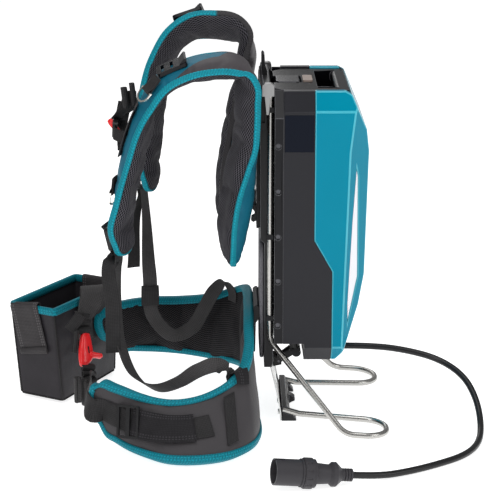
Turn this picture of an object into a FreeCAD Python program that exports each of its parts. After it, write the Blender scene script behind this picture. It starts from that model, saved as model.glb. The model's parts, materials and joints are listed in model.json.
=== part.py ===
import FreeCAD, Part
import math
import os

# Backpack power pack for garden tools: a battery case on a back plate with wire feet, a padded harness
# with a hip belt and pouch, and a supply cord with a plug. Millimetres. +Z is up, the wearer faces -Y,
# +X is the wearer's left. The origin is on the ground, under the middle of the base block.

V = FreeCAD.Vector

# Clearances
SEAT_GAP = 0.3          # between pieces that only lie against each other
RUN_GAP = 0.05          # radial play of a pin in its eye

# Battery case
CASE_HALF_WIDTH = 130.0
CASE_FRONT_Y = -10.0    # where the two shells start, behind the cover
CASE_REAR_Y = 131.0
CASE_TOP_Z = 577.0
CASE_BOTTOM_Z = 119.0
COVER_DEPTH = 15.0      # the cover in front of the shells
COVER_FLOOR = 4.0
SHELL_WALL = 3.0
TOP_CHAMFER_WIDTH = 11.5
TOP_CHAMFER_DROP = 32.0
BOTTOM_CHAMFER_WIDTH = 24.0
BOTTOM_CHAMFER_RISE = 28.0
CORNER_WIDTH = 44.0     # how far the rear corner facets reach in from each side
CORNER_DEPTH = 33.0
CORNER_KNEE_Z = 478.0   # where the corner facet changes its slope
SPLIT_Y_HIGH = 40.0     # joint of the shells above the jog
SPLIT_Y_LOW = 70.0      # joint of the shells below the jog
SPLIT_JOG_TOP_Z = 331.0
SPLIT_JOG_BOTTOM_Z = 278.0
LATCH_NOTCH_Y = 25.0    # the low front corner that is cut away for the latch
LATCH_NOTCH_Z = 154.0

# Top recess, deck, carry grip, lid and button
RECESS_HALF_WIDTH = 104.0
RECESS_DEPTH = 34.0
RECESS_REAR_Y = 97.0
DECK_HALF_WIDTH = 96.0
DECK_WALL = 4.0
DECK_DROP = 2.0         # the deck lies this far under the case's top
DECK_CORNER = 18.0
WELL_HALF_WIDTH = 78.0
WELL_FRONT_Y = 46.0
GRIP_FRONT_Y = 74.0
GRIP_HEIGHT = 20.0
GRIP_ROUND = 8.0
LID_HALF_WIDTH = 29.0
LID_FRONT_Y = -22.0
LID_REAR_Y = 17.0
LID_HEIGHT = 12.0
LID_PIN_RADIUS = 1.5
LID_PIN_HALF_LENGTH = 33.0
BUTTON_HALF_WIDTH = 24.0
BUTTON_FRONT_Y = 24.0
BUTTON_REAR_Y = 40.0
BUTTON_TRAVEL = 2.0
BUTTON_STANDS = 2.6
BUTTON_HEIGHT = 8.0

# Side windows and reflector strips
WINDOW_BOTTOM_Z = 479.0
WINDOW_TOP_Z = 540.0
WINDOW_FRONT_Y = -9.0
WINDOW_REAR_Y = 39.0
WINDOW_DEPTH = 1.2
STRIP_THICKNESS = 1.0
STRIP_POCKET = 2.2
STRIP_OUTLINE = [(20.0, 447.0), (25.0, 434.0), (34.0, 262.0), (9.0, 190.0), (7.0, 222.0), (13.0, 355.0)]

# Case screws, five down each side of the cover
SCREW_TOP_Z = 488.0
SCREW_PITCH = 75.7
SCREW_COUNT = 5
SCREW_Y = -19.0
SCREW_HOLE_RADIUS = 4.6
SCREW_HOLE_DEPTH = 7.0
SCREW_HEAD_RADIUS = 3.5
SCREW_HEAD_HEIGHT = 3.0

# Cells and their electronics
CELL_RADIUS = 9.2
CELL_LENGTH = 65.0
CELL_ROW_HALF_WIDTH = 100.0
CELL_ROWS = 11
CELL_ROW_PITCH = 22.0
CELL_FRONT_Y = 12.0
CELL_BOTTOM_Z = 214.0
HOLDER_THICKNESS = 6.0
HOLDER_MARGIN = 6.0
BUS_THICKNESS = 0.8
BUS_WIDTH = 14.0
BOARD_THICKNESS = 1.6
BOARD_HALF_WIDTH = 88.0
BOARD_HEIGHT = 46.0

# Back plate, a tray that is open towards the case
PLATE_HALF_WIDTH = 88.0
PLATE_FRONT_Y = -47.5
PLATE_STEP = 7.0        # the lower part stands this much further back, behind the foam
PLATE_STEP_Z = 322.0
PLATE_WALL = 4.0
PLATE_TOP_Z = 585.0
PLATE_BOTTOM_Z = 99.0
PLATE_RIB_PITCH = 80.0
PLATE_RIB_COUNT = 5
PAD_THICKNESS = 7.0
PAD_HALF_WIDTH = 78.0

# Wire feet
ROD_RADIUS = 5.0
ROD_X = 97.0
ROD_Y = -31.0
ROD_TOP_Z = 566.0
ROD_BEND_Z = 150.0
ROD_BEND_RADIUS = 24.0
FOOT_OUTER_X = 172.0
FOOT_INNER_X = 96.0
FOOT_HEEL_X = 80.6
FOOT_HEEL_Y = 20.0
FOOT_HEEL_Z = 13.0
FOOT_DOWN_Y = 92.0
FOOT_DOWN_Z = 10.0
FOOT_DOWN_RADIUS = 36.0
FOOT_TIP_Y = 164.0
FOOT_TURN_RADIUS = 37.5
LOOP_THICKNESS = 4.5
CLIP_HEIGHT = 9.0
CLIP_HEIGHTS = [543.0, 330.0, 190.0]

# Strut plate and base block
STRUT_THICKNESS = 2.5
STRUT_HALF_WIDTH = 82.0
BLOCK_FRONT_Y = -10.4
BLOCK_REAR_Y = 4.0
BLOCK_HEIGHT = 27.0
BLOCK_FOOT_REAR_Y = 15.0
BLOCK_FOOT_WIDTH = 17.0
BLOCK_FOOT_HEIGHT = 9.0

# Latch under the case
LATCH_PIVOT_Y = -14.0
LATCH_PIVOT_Z = 86.0
LATCH_HALF_WIDTH = 14.0
LATCH_PIN_RADIUS = 2.0
LATCH_HEAD_Y = 16.0
LATCH_HEAD_Z = 104.5
LATCH_HEAD_RADIUS = 8.0
LATCH_HEAD_HALF_WIDTH = 26.0

# Soft goods
STRAP_WIDTH = 74.0
STRAP_THICKNESS = 18.0
WEB_WIDTH = 25.0
WEB_THICKNESS = 2.0
BELT_THICKNESS = 14.0
BELT_CURVE_ROOM = 1.3   # webbing on the curved belt stands off by this much more
BELT_STEPS = 3          # sections of the belt from each of its rows to the next
WAIST_WEB_WIDTH = 38.0
POUCH_LENGTH = 199.0
POUCH_DEPTH = 84.0
POUCH_HEIGHT = 168.0
POUCH_WALL = 2.5
POUCH_CORNER = (0.0, -400.0)
POUCH_BOTTOM_Z = 6.0
POUCH_TURN = 149.7      # degrees that the pouch's long side is turned from +X
POUCH_TAPER = 5.0
BINDING_HEIGHT = 11.0
BINDING_THICKNESS = 1.4

POUCH_BAND_WIDTH = 40.0
POUCH_BAND_EDGE = 38.0
POUCH_BAND_DROP = 86.0
POUCH_BAND_TUCK = 40.0

# Fittings of the harness
RING_WIRE_RADIUS = 1.6
RING_HALF_WIDTH = 13.0
RING_REACH = 21.0
RING_TAIL = 28.0
LOCK_FRAME = 39         # the section of each strap where its ladder lock sits
LEFT_LIFTER_FRAME = 25
RIGHT_LIFTER_FRAME = 24
UPPER_RING_FRAME = 27
LOWER_RING_FRAME = 35
CHEST_FRAME = 31
UPPER_STRIP = (28, 33)  # the first section that a sewn strip covers and the one after its last
LOWER_STRIP = (38, 41)
UPPER_RING_STANDS = 1.8
UPPER_RING_TURN = 30.0  # degrees that the upper left ring and its patch lean over the strap's near edge
LOCK_HALF_LENGTH = 20.0
CHEST_MIDDLE = (34.0, -286.0, 503.0)
CHEST_LINE = (-1.0, 0.03, 0.12)
CHEST_BUCKLE_HALF = 24.0
CHEST_WIDTH = 20.0
CHEST_WEB_STANDS = 1.5  # over the sewn strip that it crosses
WAIST_MIDDLE = (31.0, -345.0, 112.0)
WAIST_LINE = (-0.44, -0.12, 0.88)
WAIST_NORMAL = (0.75, 0.60, 0.26)
WAIST_BUCKLE_HALF = 30.0
WAIST_BUCKLE_SIDE = 16.0
BUCKLE_LEAD = 10.0      # webbing leaves the buckle straight for this long
LEFT_SEAM = 13.4        # the row of the belt where the left shoulder webbing is sewn on
RIGHT_SEAM = 6.4        # and the right one
WAIST_WEB_REAR = 14.7   # the rows where the webbing on the left wing starts and leaves it
WAIST_WEB_FRONT = 18.4
BELT_LOOP_ROW = 14.0
BELT_LOOP_WIDTH = 22.0
GLIDE_ROW = 17.3
GLIDE_STANDS = 2.4
ROLL_RADIUS = 6.5
ROLL_HALF = 24.0
LEFT_ROLLS = [(84.0, -354.6, 50.0), (84.0, -341.2, 48.0)]
KEEPER_PLACE = (-97.0, -238.0, 170.0)
KEEPER_TURN = 8.0
POUCH_HANGER_Z = 108.0
POUCH_HANGER_LINE = [(136.0, -2.0), (108.0, 0.9), (66.0, 0.9)]
RIGHT_BAND_U = 84.0
RIGHT_BAND_WIDTH = 44.0

# Frame pieces from the side: corners (y, z), from the face or edge that each one stands on
BLOCK_BEVEL = 6.0
BLOCK_FOOT_LIP = 4.0
BLOCK_FOOT_TOP = BLOCK_FOOT_HEIGHT + 10.0
BLOCK_HOOK = [(-1, 20), (4, 21), (11, 16), (11, 10), (6, 8), (-1, 4)]
BLOCK_HOOK_HALF_WIDTH = 9.0
TAB_SIDE = [(4.5, 0), (12, 0), (12.5, 6), (9, 16), (8, 33), (5, 36), (3, 33), (3, 8)]
TAB_HALF_WIDTH = 17.0
TAB_DEPTH = 20.0
TAB_SLOT_HEIGHT = 20.0
TAB_SLOT_HALF_WIDTH = 6.0
TAB_SLOT_RADIUS = 4.0
CARRIER_HALF_WIDTH = 62.0
CARRIER_THICKNESS = 5.5
CARRIER_BOTTOM_Z = 332.0
CARRIER_TOP_Z = 500.0
CARRIER_CORNER = 12.0
CARRIER_SLOTS = (360.0, 400.0, 440.0)
CARRIER_SLOT_HALF_WIDTH = 22.0
CARRIER_SLOT_HEIGHT = 12.0
CARRIER_HOOK = [(0, 372), (-6, 375), (-9, 370), (-6, 366), (-3, 362), (-3, 356), (-8, 353), (-9, 347), (-5, 344),
                (0, 347)]
CARRIER_HOOK_X = 44.0
CARRIER_HOOK_WIDTH = 14.0
LOOP_SET_BACK = 4.6
LOOP_RADIUS = 5.5
LOOP_BOTTOM_Z = 512.0
LOOP_TOP_Z = 572.0
LOOP_SLOT_HALF = 2.6
LOOP_SLOT_BOTTOM_Z = 520.0
LOOP_SLOT_TOP_Z = 570.0
ARM_SIDE = [(0, 196), (-4, 200), (-10, 196), (-11, 118), (-8.5, 116), (-7, 118), (-6, 168), (0, 176)]
ARM_HALF_WIDTH = 58.0
ARM_DEPTH = 20.0
ARM_WINDOW_HALF_WIDTH = 20.0
ARM_WINDOW_BOTTOM_Z = 128.0
ARM_WINDOW_TOP_Z = 160.0

# Plastic fittings on the webbing; a corner (y, z) in one of them is from its middle and its underside
FITTING_CORNER = 5.0
BUCKLE_SLOT = 3.0
LIFTER_HALF_WIDTH = 19.0
LIFTER_HALF_LENGTH = 26.0
LIFTER_THICKNESS = 6.0
LIFTER_SLOTS = (-18.0, -2.0)
LIFTER_SLOT_LENGTH = 5.0
LIFTER_GRIP = [(12, 5), (23, 5), (28, 11), (25, 13), (18, 9)]
LIFTER_GROOVES = 4
LIFTER_GROOVE_START = -13.0
LIFTER_GROOVE_PITCH = 2.4
LIFTER_GROOVE_WIDTH = 0.9
LIFTER_GROOVE_DEPTH = 0.8
LOCK_HALF_WIDTH = 18.0
LOCK_THICKNESS = 7.0
LOCK_SLOTS = (-14.0, 6.0)
LOCK_SLOT_LENGTH = 7.0
LOCK_LIP = [(14, 6), (20, 6), (25, 10), (23, 12)]
GLIDE_HALF_WIDTH = 27.0
GLIDE_HALF_LENGTH = 20.0
GLIDE_BAR = 4.0
GLIDE_MIDDLE_BAR = 7.0
CHEST_BUCKLE_SIDE = 13.0
CHEST_BUCKLE_THICKNESS = 8.0
CHEST_POCKET_HALF_WIDTH = 9.5
CHEST_POCKET_START = -12.0
CHEST_POCKET_END = 15.5
CHEST_POCKET_FLOOR = 0.5
CHEST_PIN = (-9.0, 2.6)
CHEST_PIN_RADIUS = 1.2
WAIST_BUCKLE_BACK = -4.5
WAIST_BUCKLE_FACE = 3.5
WAIST_BUCKLE_CORNER = 6.0
WAIST_POCKET_HALF_WIDTH = 11.0
WAIST_POCKET_START = -17.0
WAIST_POCKET_END = 19.0
WAIST_POCKET_FLOOR = -1.5
WAIST_PIN = (15.0, 2.0)
WAIST_PIN_RADIUS = 1.4
WAIST_SLOT = 3.5
WAIST_LEVER_SIDE = [(17.6, 2.0), (16, -0.9), (8, -0.9), (-15, 0.2), (-15, 6), (-22, 12), (-20.5, 14.5), (-12, 9),
                    (2, 5.6), (15, 4.6)]
WAIST_LEVER_WINDOW = [(-10, -3), (-10, 16), (-3, 16), (-3, -3)]
WAIST_WINDOW_HALF_WIDTH = 4.5
KEEPER_HALF_DEPTH = 3.4
KEEPER_HALF_WIDTH = 16.0
KEEPER_HALF_HEIGHT = 18.0
KEEPER_WALL = 1.8

# Free webbing: each row is x, y, z of the middle, the direction of the width, then the width
LEFT_LOAD = [
    (90, -283, 278, 0.93, -0.37, 0.0, 25),
    (98, -284, 206, 0.9, -0.42, 0.0, 25),
    (111, -278, 144, 0.8, -0.55, 0.2, 25),
    (134, -255, 100, 0.65, -0.6, 0.45, 25),
    (158, -222, 88, 0.55, -0.4, 0.7, 25),
    (178, -180, 106, 0.4, -0.1, 0.9, 25),
    (184, -150, 127, 0.0, 0.45, 0.85, 25),
    (178, -118, 134, -0.4, 0.8, 0.3, 25),
]
LEFT_TAIL = [
    (103, -303, 284, 0.6, -0.8, 0.0, 25),
    (117, -303, 222, 0.25, -0.97, 0.0, 25),
    (113, -304, 137, 0.2, -0.98, 0.0, 25),
]
RIGHT_LOAD = [
    (-92, -243, 318, 0.8, -0.5, 0.0, 25),
    (-95, -240, 230, 0.4, -0.9, 0.0, 25),
    (-97, -238, 196, 0.14, -0.99, 0.0, 25),
    (-97, -238, 170, 0.14, -0.99, 0.0, 25),
    (-97, -237, 144, 0.14, -0.99, 0.0, 25),
    (-102, -224, 116, 0.1, -0.93, -0.36, 25),
    (-110, -196, 92, 0.05, -0.5, -0.85, 25),
    (-118, -165, 104, 0.1, 0.6, -0.8, 25),
    (-122, -142, 140, 0.2, 0.93, -0.3, 25),
    (-122, -124, 172, 0.4, 0.9, -0.2, 25),
    (-126, -108, 186, 0.7, 0.6, 0.0, 25),
]
RIGHT_TAIL = [
    (-86, -258, 330, 0.8, -0.5, 0.0, 25),
    (-86, -266, 225, 0.5, -0.85, 0.0, 25),
]
LEFT_WAIST_LINE = [
    (208, -321, 66, 0.3, -0.1, -0.95, 38),
    (190, -333, 76, 0.2, -0.1, -0.97, 34),
    (150, -332, 84, 0.1, -0.1, -1.0, 28),
    (112, -331, 83, 0.05, 0.0, -1.0, 25),
    (84, -333, 80, 0.05, 0.05, -1.0, 25),
]
RIGHT_BAND_LINE = [
    (0, -343, 174, 0.5, -0.85, 0.1, 34),
    (-18, -335, 190, 0.3, -0.95, 0.05, 40),
    (-40, -334, 203, 0.1, -1.0, 0.0, 44),
    (-60, -338, 198, 0.4, -0.9, 0.0, 44),
    (-69, -345, 178, 0.75, -0.65, 0.0, 44),
]

# Cord and plug
FLOOR_GAP = 0.2
CORD_RADIUS = 5.5
CORD_SIDES = 12         # flat sides of the cord's solid
CORD_EXIT_Z = 108.0
RELIEF_START_Y = 52.0
RELIEF_END_Y = 88.0
RELIEF_ROOT_RADIUS = 8.5
CORD_PLUG_RUN = 45.0
CORD_ROUTE = [
    (0.0, 146.0, CORD_EXIT_Z), (3.0, 206.0, 101.0), (16.0, 262.0, 89.0), (58.0, 301.0, 73.0),
    (104.0, 318.0, 47.0), (150.0, 321.0, 18.0), (204.0, 311.0, 6.2), (257.0, 282.0, 5.8), (298.0, 229.0, 5.8),
    (327.0, 182.0, 6.2)]
PLUG_BOOT_X = 363.0
PLUG_BOOT_Y = 91.0
PLUG_HEADING = (0.22, -0.97, 0.0)
PLUG_BOOT_RADIUS = 10.3
PLUG_BULGE_AT = 30.0
PLUG_BULGE_RADIUS = 19.5
PLUG_WAIST_RADIUS = 15.3
PLUG_COLLAR_START = 66.4
PLUG_COLLAR_LENGTH = 14.6
PLUG_COLLAR_RADIUS = 24.5
COLLAR_NOTCHES = 12
PLUG_BARREL_RADIUS = 21.0
PLUG_BARREL_WALL = 2.6
PLUG_LENGTH = 127.0
PLUG_FLOOR_AT = 92.0
CONTACT_RADIUS = 2.4
CONTACT_CIRCLE = 9.0
CONTACT_REACH = 24.0


# Small helpers

def box(x0, x1, y0, y1, z0, z1):
    return Part.makeBox(x1 - x0, y1 - y0, z1 - z0, V(x0, y0, z0))


def wire_through(points):
    return Part.makePolygon([V(*p) for p in points] + [V(*points[0])])


def prism_x(outline, x0, x1):
    # outline holds (y, z) corners
    face = Part.Face(wire_through([(x0, y, z) for y, z in outline]))
    return face.extrude(V(x1 - x0, 0, 0))


def prism_y(outline, y0, y1):
    # outline holds (x, z) corners
    face = Part.Face(wire_through([(x, y0, z) for x, z in outline]))
    return face.extrude(V(0, y1 - y0, 0))


def prism_z(outline, z0, z1):
    # outline holds (x, y) corners
    face = Part.Face(wire_through([(x, y, z0) for x, y in outline]))
    return face.extrude(V(0, 0, z1 - z0))


def rod(start, end, radius):
    axis = V(*end) - V(*start)
    return Part.makeCylinder(radius, axis.Length, V(*start), axis)


def mirrored(shape):
    # the same piece on the other side of the wearer
    return shape.mirror(V(0, 0, 0), V(1, 0, 0))


def both_sides(shape):
    return Part.makeCompound([shape, mirrored(shape)])


def group(shapes):
    return Part.makeCompound(shapes)


def half_space_cut(shape, origin, normal, low=-1000.0, high=1000.0):
    # removes what lies on the side that the normal points to, between two heights
    size = 2000.0
    block = Part.makeBox(size, size, size, V(-size / 2, -size / 2, 0))
    block.Placement = FreeCAD.Placement(V(*origin), FreeCAD.Rotation(V(0, 0, 1), V(*normal)))
    return shape.cut(block.common(box(-size, size, -size, size, low, high)))


def rounded_wire(points, radii):
    # straight runs joined by tangent arcs, one radius for each inner point
    corners = [V(*p) for p in points]
    edges = []
    start = corners[0]
    for here, ahead, radius in zip(corners[1:-1], corners[2:], radii):
        before = (start - here).normalize()
        after = (ahead - here).normalize()
        turn = math.pi - before.getAngle(after)
        reach = radius * math.tan(turn / 2)
        first = here + before * reach
        last = here + after * reach
        middle = (before + after).normalize()
        centre = here + middle * (radius / math.cos(turn / 2))
        top = centre - middle * radius
        edges.append(Part.LineSegment(start, first).toShape())
        edges.append(Part.Arc(first, top, last).toShape())
        start = last
    edges.append(Part.LineSegment(start, corners[-1]).toShape())
    return Part.Wire(edges)


def tube(wire, radius, sides=0):
    # a round tube along the wire, or one with so many flat sides
    edge = wire.Edges[0]
    start = edge.valueAt(edge.FirstParameter)
    tangent = edge.tangentAt(edge.FirstParameter)
    circle = Part.Circle(start, tangent, radius)
    section = Part.Wire([circle.toShape()])
    if sides:
        corners = [circle.value(2 * math.pi * index / sides) for index in range(sides)]
        section = Part.makePolygon(corners + [corners[0]])
    return wire.makePipeShell([section], True, False)


def curve_between(rows, parts):
    # a smooth line of values through the rows, with so many steps from each row to the next
    gaps = [math.dist(a[0:3], b[0:3]) for a, b in zip(rows, rows[1:])]
    rises = [[(v - u) / gap for u, v in zip(a, b)] for a, b, gap in zip(rows, rows[1:], gaps)]
    slopes = [rises[0]]
    for before, after, short, long in zip(rises, rises[1:], gaps, gaps[1:]):
        slopes.append([(u * long + v * short) / (short + long) for u, v in zip(before, after)])
    slopes.append(rises[-1])
    smooth = []
    for index, gap in enumerate(gaps):
        for step in range(parts):
            t = step / parts
            start_share = (1 + 2 * t) * (1 - t) ** 2
            start_slope = t * (1 - t) ** 2 * gap
            end_slope = t * t * (t - 1) * gap
            smooth.append([start_share * a + (1 - start_share) * b + start_slope * m + end_slope * n
                           for a, b, m, n in zip(rows[index], rows[index + 1], slopes[index], slopes[index + 1])])
    smooth.append(list(rows[-1]))
    return smooth


def strap_frames(stations, parts):
    # each station is a centre and the direction of the strap's width: x, y, z, wx, wy, wz, width
    rows = curve_between(stations, parts)
    frames = []
    for index, row in enumerate(rows):
        here = V(*row[0:3])
        back = V(*rows[max(index - 1, 0)][0:3])
        ahead = V(*rows[min(index + 1, len(rows) - 1)][0:3])
        along = (ahead - back).normalize()
        wide = V(*row[3:6])
        wide = (wide - along * wide.dot(along)).normalize()
        frames.append((here, wide, along.cross(wide).normalize(), row[6]))
    return frames


def straight_loft(rings):
    wires = [Part.makePolygon(ring + [ring[0]]) for ring in rings]
    return Part.makeLoft(wires, True, True)


def flat_face(corners):
    return Part.Face(Part.makePolygon(corners + [corners[0]]))


def lofted(rings):
    # a loft whose sides are flat triangles, so that a twisting strap keeps simple faces
    count = len(rings[0])
    faces = [flat_face(rings[0]), flat_face(rings[-1])]
    for low, high in zip(rings, rings[1:]):
        for k in range(count):
            after = (k + 1) % count
            faces.append(flat_face([low[k], low[after], high[after]]))
            faces.append(flat_face([low[k], high[after], high[k]]))
    shell = Part.makeShell(faces)
    shell.sewShape()
    solid = Part.makeSolid(shell)
    if solid.Volume < 0:
        solid.reverse()
    return solid


def web_ring(middle, wide, normal, width):
    # the four corners of a webbing's section
    side = wide * (width / 2)
    rise = normal * (WEB_THICKNESS / 2)
    return [middle - side - rise, middle + side - rise, middle + side + rise, middle - side + rise]


def web_rings(stations, parts):
    return [web_ring(*frame) for frame in strap_frames(stations, parts)]


def webbing(stations, parts=2):
    return lofted(web_rings(stations, parts))


def padded_strap(stations, thickness, parts=2):
    # a padded strap whose section is crowned on both faces and thin at its bound edges
    outline = [(-1.0, -0.42), (-0.6, -1.0), (0.6, -1.0), (1.0, -0.42),
               (1.0, 0.42), (0.6, 1.0), (-0.6, 1.0), (-1.0, 0.42)]
    rings = []
    for here, wide, normal, width in strap_frames(stations, parts):
        rings.append([here + wide * (a * width / 2) + normal * (b * thickness / 2) for a, b in outline])
    return lofted(rings)


def shifted(outline, a, b):
    return [(x + a, y + b) for x, y in outline]


def upright_edges(shape):
    return [edge for edge in shape.Edges if abs(edge.Vertexes[0].Z - edge.Vertexes[1].Z) > 1]


def turned_about_y(profile, x, z):
    # a solid of revolution about an axis along Y; the profile holds (y, radius) corners
    points = [(x + r, y, z) for y, r in profile]
    face = Part.Face(wire_through(points))
    return face.revolve(V(x, 0, z), V(0, 1, 0), 360)


# Battery case

def inset_outline(outline, inset):
    # moves each side of a convex outline, listed anticlockwise, inwards by the inset
    moved = []
    count = len(outline)
    for index in range(count):
        (x0, y0), (x1, y1) = outline[index], outline[(index + 1) % count]
        length = math.hypot(x1 - x0, y1 - y0)
        moved.append(((x0 - (y1 - y0) / length * inset, y0 + (x1 - x0) / length * inset),
                      (x1 - x0, y1 - y0)))
    corners = []
    for index in range(count):
        (p, d), (q, e) = moved[index - 1], moved[index]
        t = ((q[0] - p[0]) * e[1] - (q[1] - p[1]) * e[0]) / (d[0] * e[1] - d[1] * e[0])
        corners.append((p[0] + d[0] * t, p[1] + d[1] * t))
    return corners


def side_outline():
    # the case from the side, (y, z), anticlockwise as seen with +Y to the right and +Z up
    rear = CASE_REAR_Y
    top = CASE_TOP_Z
    low = CASE_BOTTOM_Z
    front = CASE_FRONT_Y - COVER_DEPTH
    return [(front, low), (rear - 53, low), (rear - 42, low + 16), (rear - 15, low + 93), (rear - 5, low + 143),
            (rear, top - 105), (rear - 5, top - 67), (rear - 31, top - 6), (rear - 42, top), (front, top)]


def front_outline():
    # the case from the front, (x, z), anticlockwise with +X to the right
    wide = CASE_HALF_WIDTH
    top = CASE_TOP_Z
    low = CASE_BOTTOM_Z
    return [(-wide + BOTTOM_CHAMFER_WIDTH, low), (wide - BOTTOM_CHAMFER_WIDTH, low),
            (wide, low + BOTTOM_CHAMFER_RISE), (wide, top - TOP_CHAMFER_DROP),
            (wide - TOP_CHAMFER_WIDTH, top), (-wide + TOP_CHAMFER_WIDTH, top),
            (-wide, top - TOP_CHAMFER_DROP), (-wide, low + BOTTOM_CHAMFER_RISE)]


def corner_planes():
    # the two facets of the rear corner on the wearer's left: a point, the outward normal and the heights
    side_knee = V(CASE_HALF_WIDTH, CASE_REAR_Y - CORNER_DEPTH, CORNER_KNEE_Z)
    rear_knee = V(CASE_HALF_WIDTH - CORNER_WIDTH, CASE_REAR_Y, CORNER_KNEE_Z)
    side_low = V(CASE_HALF_WIDTH, CASE_REAR_Y - CORNER_DEPTH - 10, CASE_BOTTOM_Z + 40)
    side_high = V(CASE_HALF_WIDTH, CASE_REAR_Y - CORNER_DEPTH + 8, CASE_TOP_Z - TOP_CHAMFER_DROP)
    lower = (rear_knee - side_knee).cross(side_knee - side_low)
    upper = (rear_knee - side_knee).cross(side_high - side_knee)
    return [(side_knee, lower.normalize(), 0.0, CORNER_KNEE_Z), (side_knee, upper.normalize(), CORNER_KNEE_Z, 900.0)]


def case_body(inset):
    # the closed form of the whole case, with every face moved inwards by the inset
    wide = CASE_HALF_WIDTH + 1
    side = prism_x(inset_outline(side_outline(), inset), -wide, wide)
    front = prism_y(inset_outline(front_outline(), inset), CASE_FRONT_Y - COVER_DEPTH - 1, CASE_REAR_Y + 1)
    body = side.common(front)
    for point, normal, low, high in corner_planes():
        for sign in (1, -1):
            outward = V(normal.x * sign, normal.y, normal.z)
            base = V(point.x * sign, point.y, point.z) - outward * inset
            body = half_space_cut(body, base, outward, low, high)
    notch = box(-wide, wide, CASE_FRONT_Y - COVER_DEPTH - 1, LATCH_NOTCH_Y + inset,
                CASE_BOTTOM_Z - 1, LATCH_NOTCH_Z + inset)
    recess = box(-RECESS_HALF_WIDTH - inset, RECESS_HALF_WIDTH + inset, CASE_FRONT_Y - COVER_DEPTH - 1,
                 RECESS_REAR_Y + inset, CASE_TOP_Z - RECESS_DEPTH - inset, CASE_TOP_Z + 1)
    return body.cut(notch).cut(recess)


def split_region(rear):
    # the space in front of the shells' joint, or behind it
    far = 400.0
    line = [(SPLIT_Y_LOW, CASE_BOTTOM_Z - 50), (SPLIT_Y_LOW, SPLIT_JOG_BOTTOM_Z),
            (SPLIT_Y_HIGH, SPLIT_JOG_TOP_Z), (SPLIT_Y_HIGH, CASE_TOP_Z + 50)]
    edge = far if rear else CASE_FRONT_Y
    return prism_x(line + [(edge, CASE_TOP_Z + 50), (edge, CASE_BOTTOM_Z - 50)], -far, far)


def window_pocket(gap):
    return box(CASE_HALF_WIDTH - WINDOW_DEPTH, CASE_HALF_WIDTH + 1, WINDOW_FRONT_Y + gap, WINDOW_REAR_Y - gap,
               WINDOW_BOTTOM_Z + gap, WINDOW_TOP_Z - gap)


def strip_solid(thickness, sink, grow):
    # the reflector outline on the lower corner facet, sunk below the facet by so much
    point, normal, low, high = corner_planes()[0]
    across = V(-CORNER_WIDTH, CORNER_DEPTH, 0).normalize()
    up = normal.cross(across).normalize()
    up = up if up.z > 0 else up * -1
    corners = []
    for wide, high in inset_outline(STRIP_OUTLINE[::-1], -grow):
        corners.append(point - normal * sink + across * wide + up * ((high - CORNER_KNEE_Z) / up.z))
    face = Part.Face(Part.makePolygon(corners + [corners[0]]))
    return face.extrude(normal * thickness)


def strip_pocket():
    return strip_solid(STRIP_POCKET + 3, STRIP_POCKET, 0.5)


def gland_hole():
    return rod((0, RELIEF_START_Y - 14, CASE_BOTTOM_Z - 1), (0, RELIEF_START_Y - 14, CASE_BOTTOM_Z + 8), 7.0)


def inner_shell():
    shell = case_body(0).cut(case_body(SHELL_WALL)).common(split_region(False))
    shell = shell.fuse(boss_columns(CASE_FRONT_Y, CELL_FRONT_Y - HOLDER_THICKNESS))
    shell = shell.cut(gland_hole())
    pocket = window_pocket(0)
    backing = box(CASE_HALF_WIDTH - SHELL_WALL - WINDOW_DEPTH, CASE_HALF_WIDTH - WINDOW_DEPTH,
                  WINDOW_FRONT_Y - 1, WINDOW_REAR_Y + 1, WINDOW_BOTTOM_Z - 3, WINDOW_TOP_Z + 3)
    backing = backing.fuse(mirrored(backing))
    return shell.fuse(backing).cut(pocket).cut(mirrored(pocket)).removeSplitter()


def boss_columns(y0, y1):
    # four posts that carry the front cell holder, on the shell's side walls
    posts = []
    for z in (CELL_BOTTOM_Z + 22, CELL_BOTTOM_Z + 220):
        post = box(CELL_ROW_HALF_WIDTH + HOLDER_MARGIN - 8, CASE_HALF_WIDTH - 1, y0, y1, z, z + 12)
        posts.append(post)
        posts.append(mirrored(post))
    return posts[0].multiFuse(posts[1:])


def outer_shell():
    pocket = strip_pocket()
    shell = case_body(0).cut(case_body(SHELL_WALL)).common(split_region(True))
    # thicker wall behind the reflector, so that its pocket doesn't break through
    backing = strip_solid(STRIP_POCKET + SHELL_WALL - 1, STRIP_POCKET + SHELL_WALL, 4.0)
    backing = backing.common(split_region(True)).common(case_body(0.5))
    shell = shell.fuse([backing, mirrored(backing)])
    return shell.cut(pocket).cut(mirrored(pocket)).removeSplitter()


def case_cover():
    # the lid of the case on the side of the back plate, a shallow tray with screw pockets
    front = CASE_FRONT_Y - COVER_DEPTH
    slab = case_body(0).common(box(-200, 200, front - 1, CASE_FRONT_Y - RUN_GAP, 0, 700))
    hollow = case_body(SHELL_WALL + 9).common(box(-200, 200, front + COVER_FLOOR, CASE_FRONT_Y + 1, 0, 700))
    cover = slab.cut(hollow)
    lean = CASE_TOP_Z - 20
    corner = prism_y([(CASE_HALF_WIDTH - 26, CASE_TOP_Z + 1), (CASE_HALF_WIDTH + 1, lean - 24),
                      (CASE_HALF_WIDTH + 1, CASE_TOP_Z + 1)], front - 1, CASE_FRONT_Y + 1)
    cover = cover.cut(corner).cut(mirrored(corner))
    for z in screw_heights():
        hole = rod((CASE_HALF_WIDTH - SCREW_HOLE_DEPTH, SCREW_Y, z), (CASE_HALF_WIDTH + 1, SCREW_Y, z),
                   SCREW_HOLE_RADIUS)
        cover = cover.cut(hole).cut(mirrored(hole))
    return cover.removeSplitter()


def screw_heights():
    return [SCREW_TOP_Z - SCREW_PITCH * index for index in range(SCREW_COUNT)]


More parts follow.
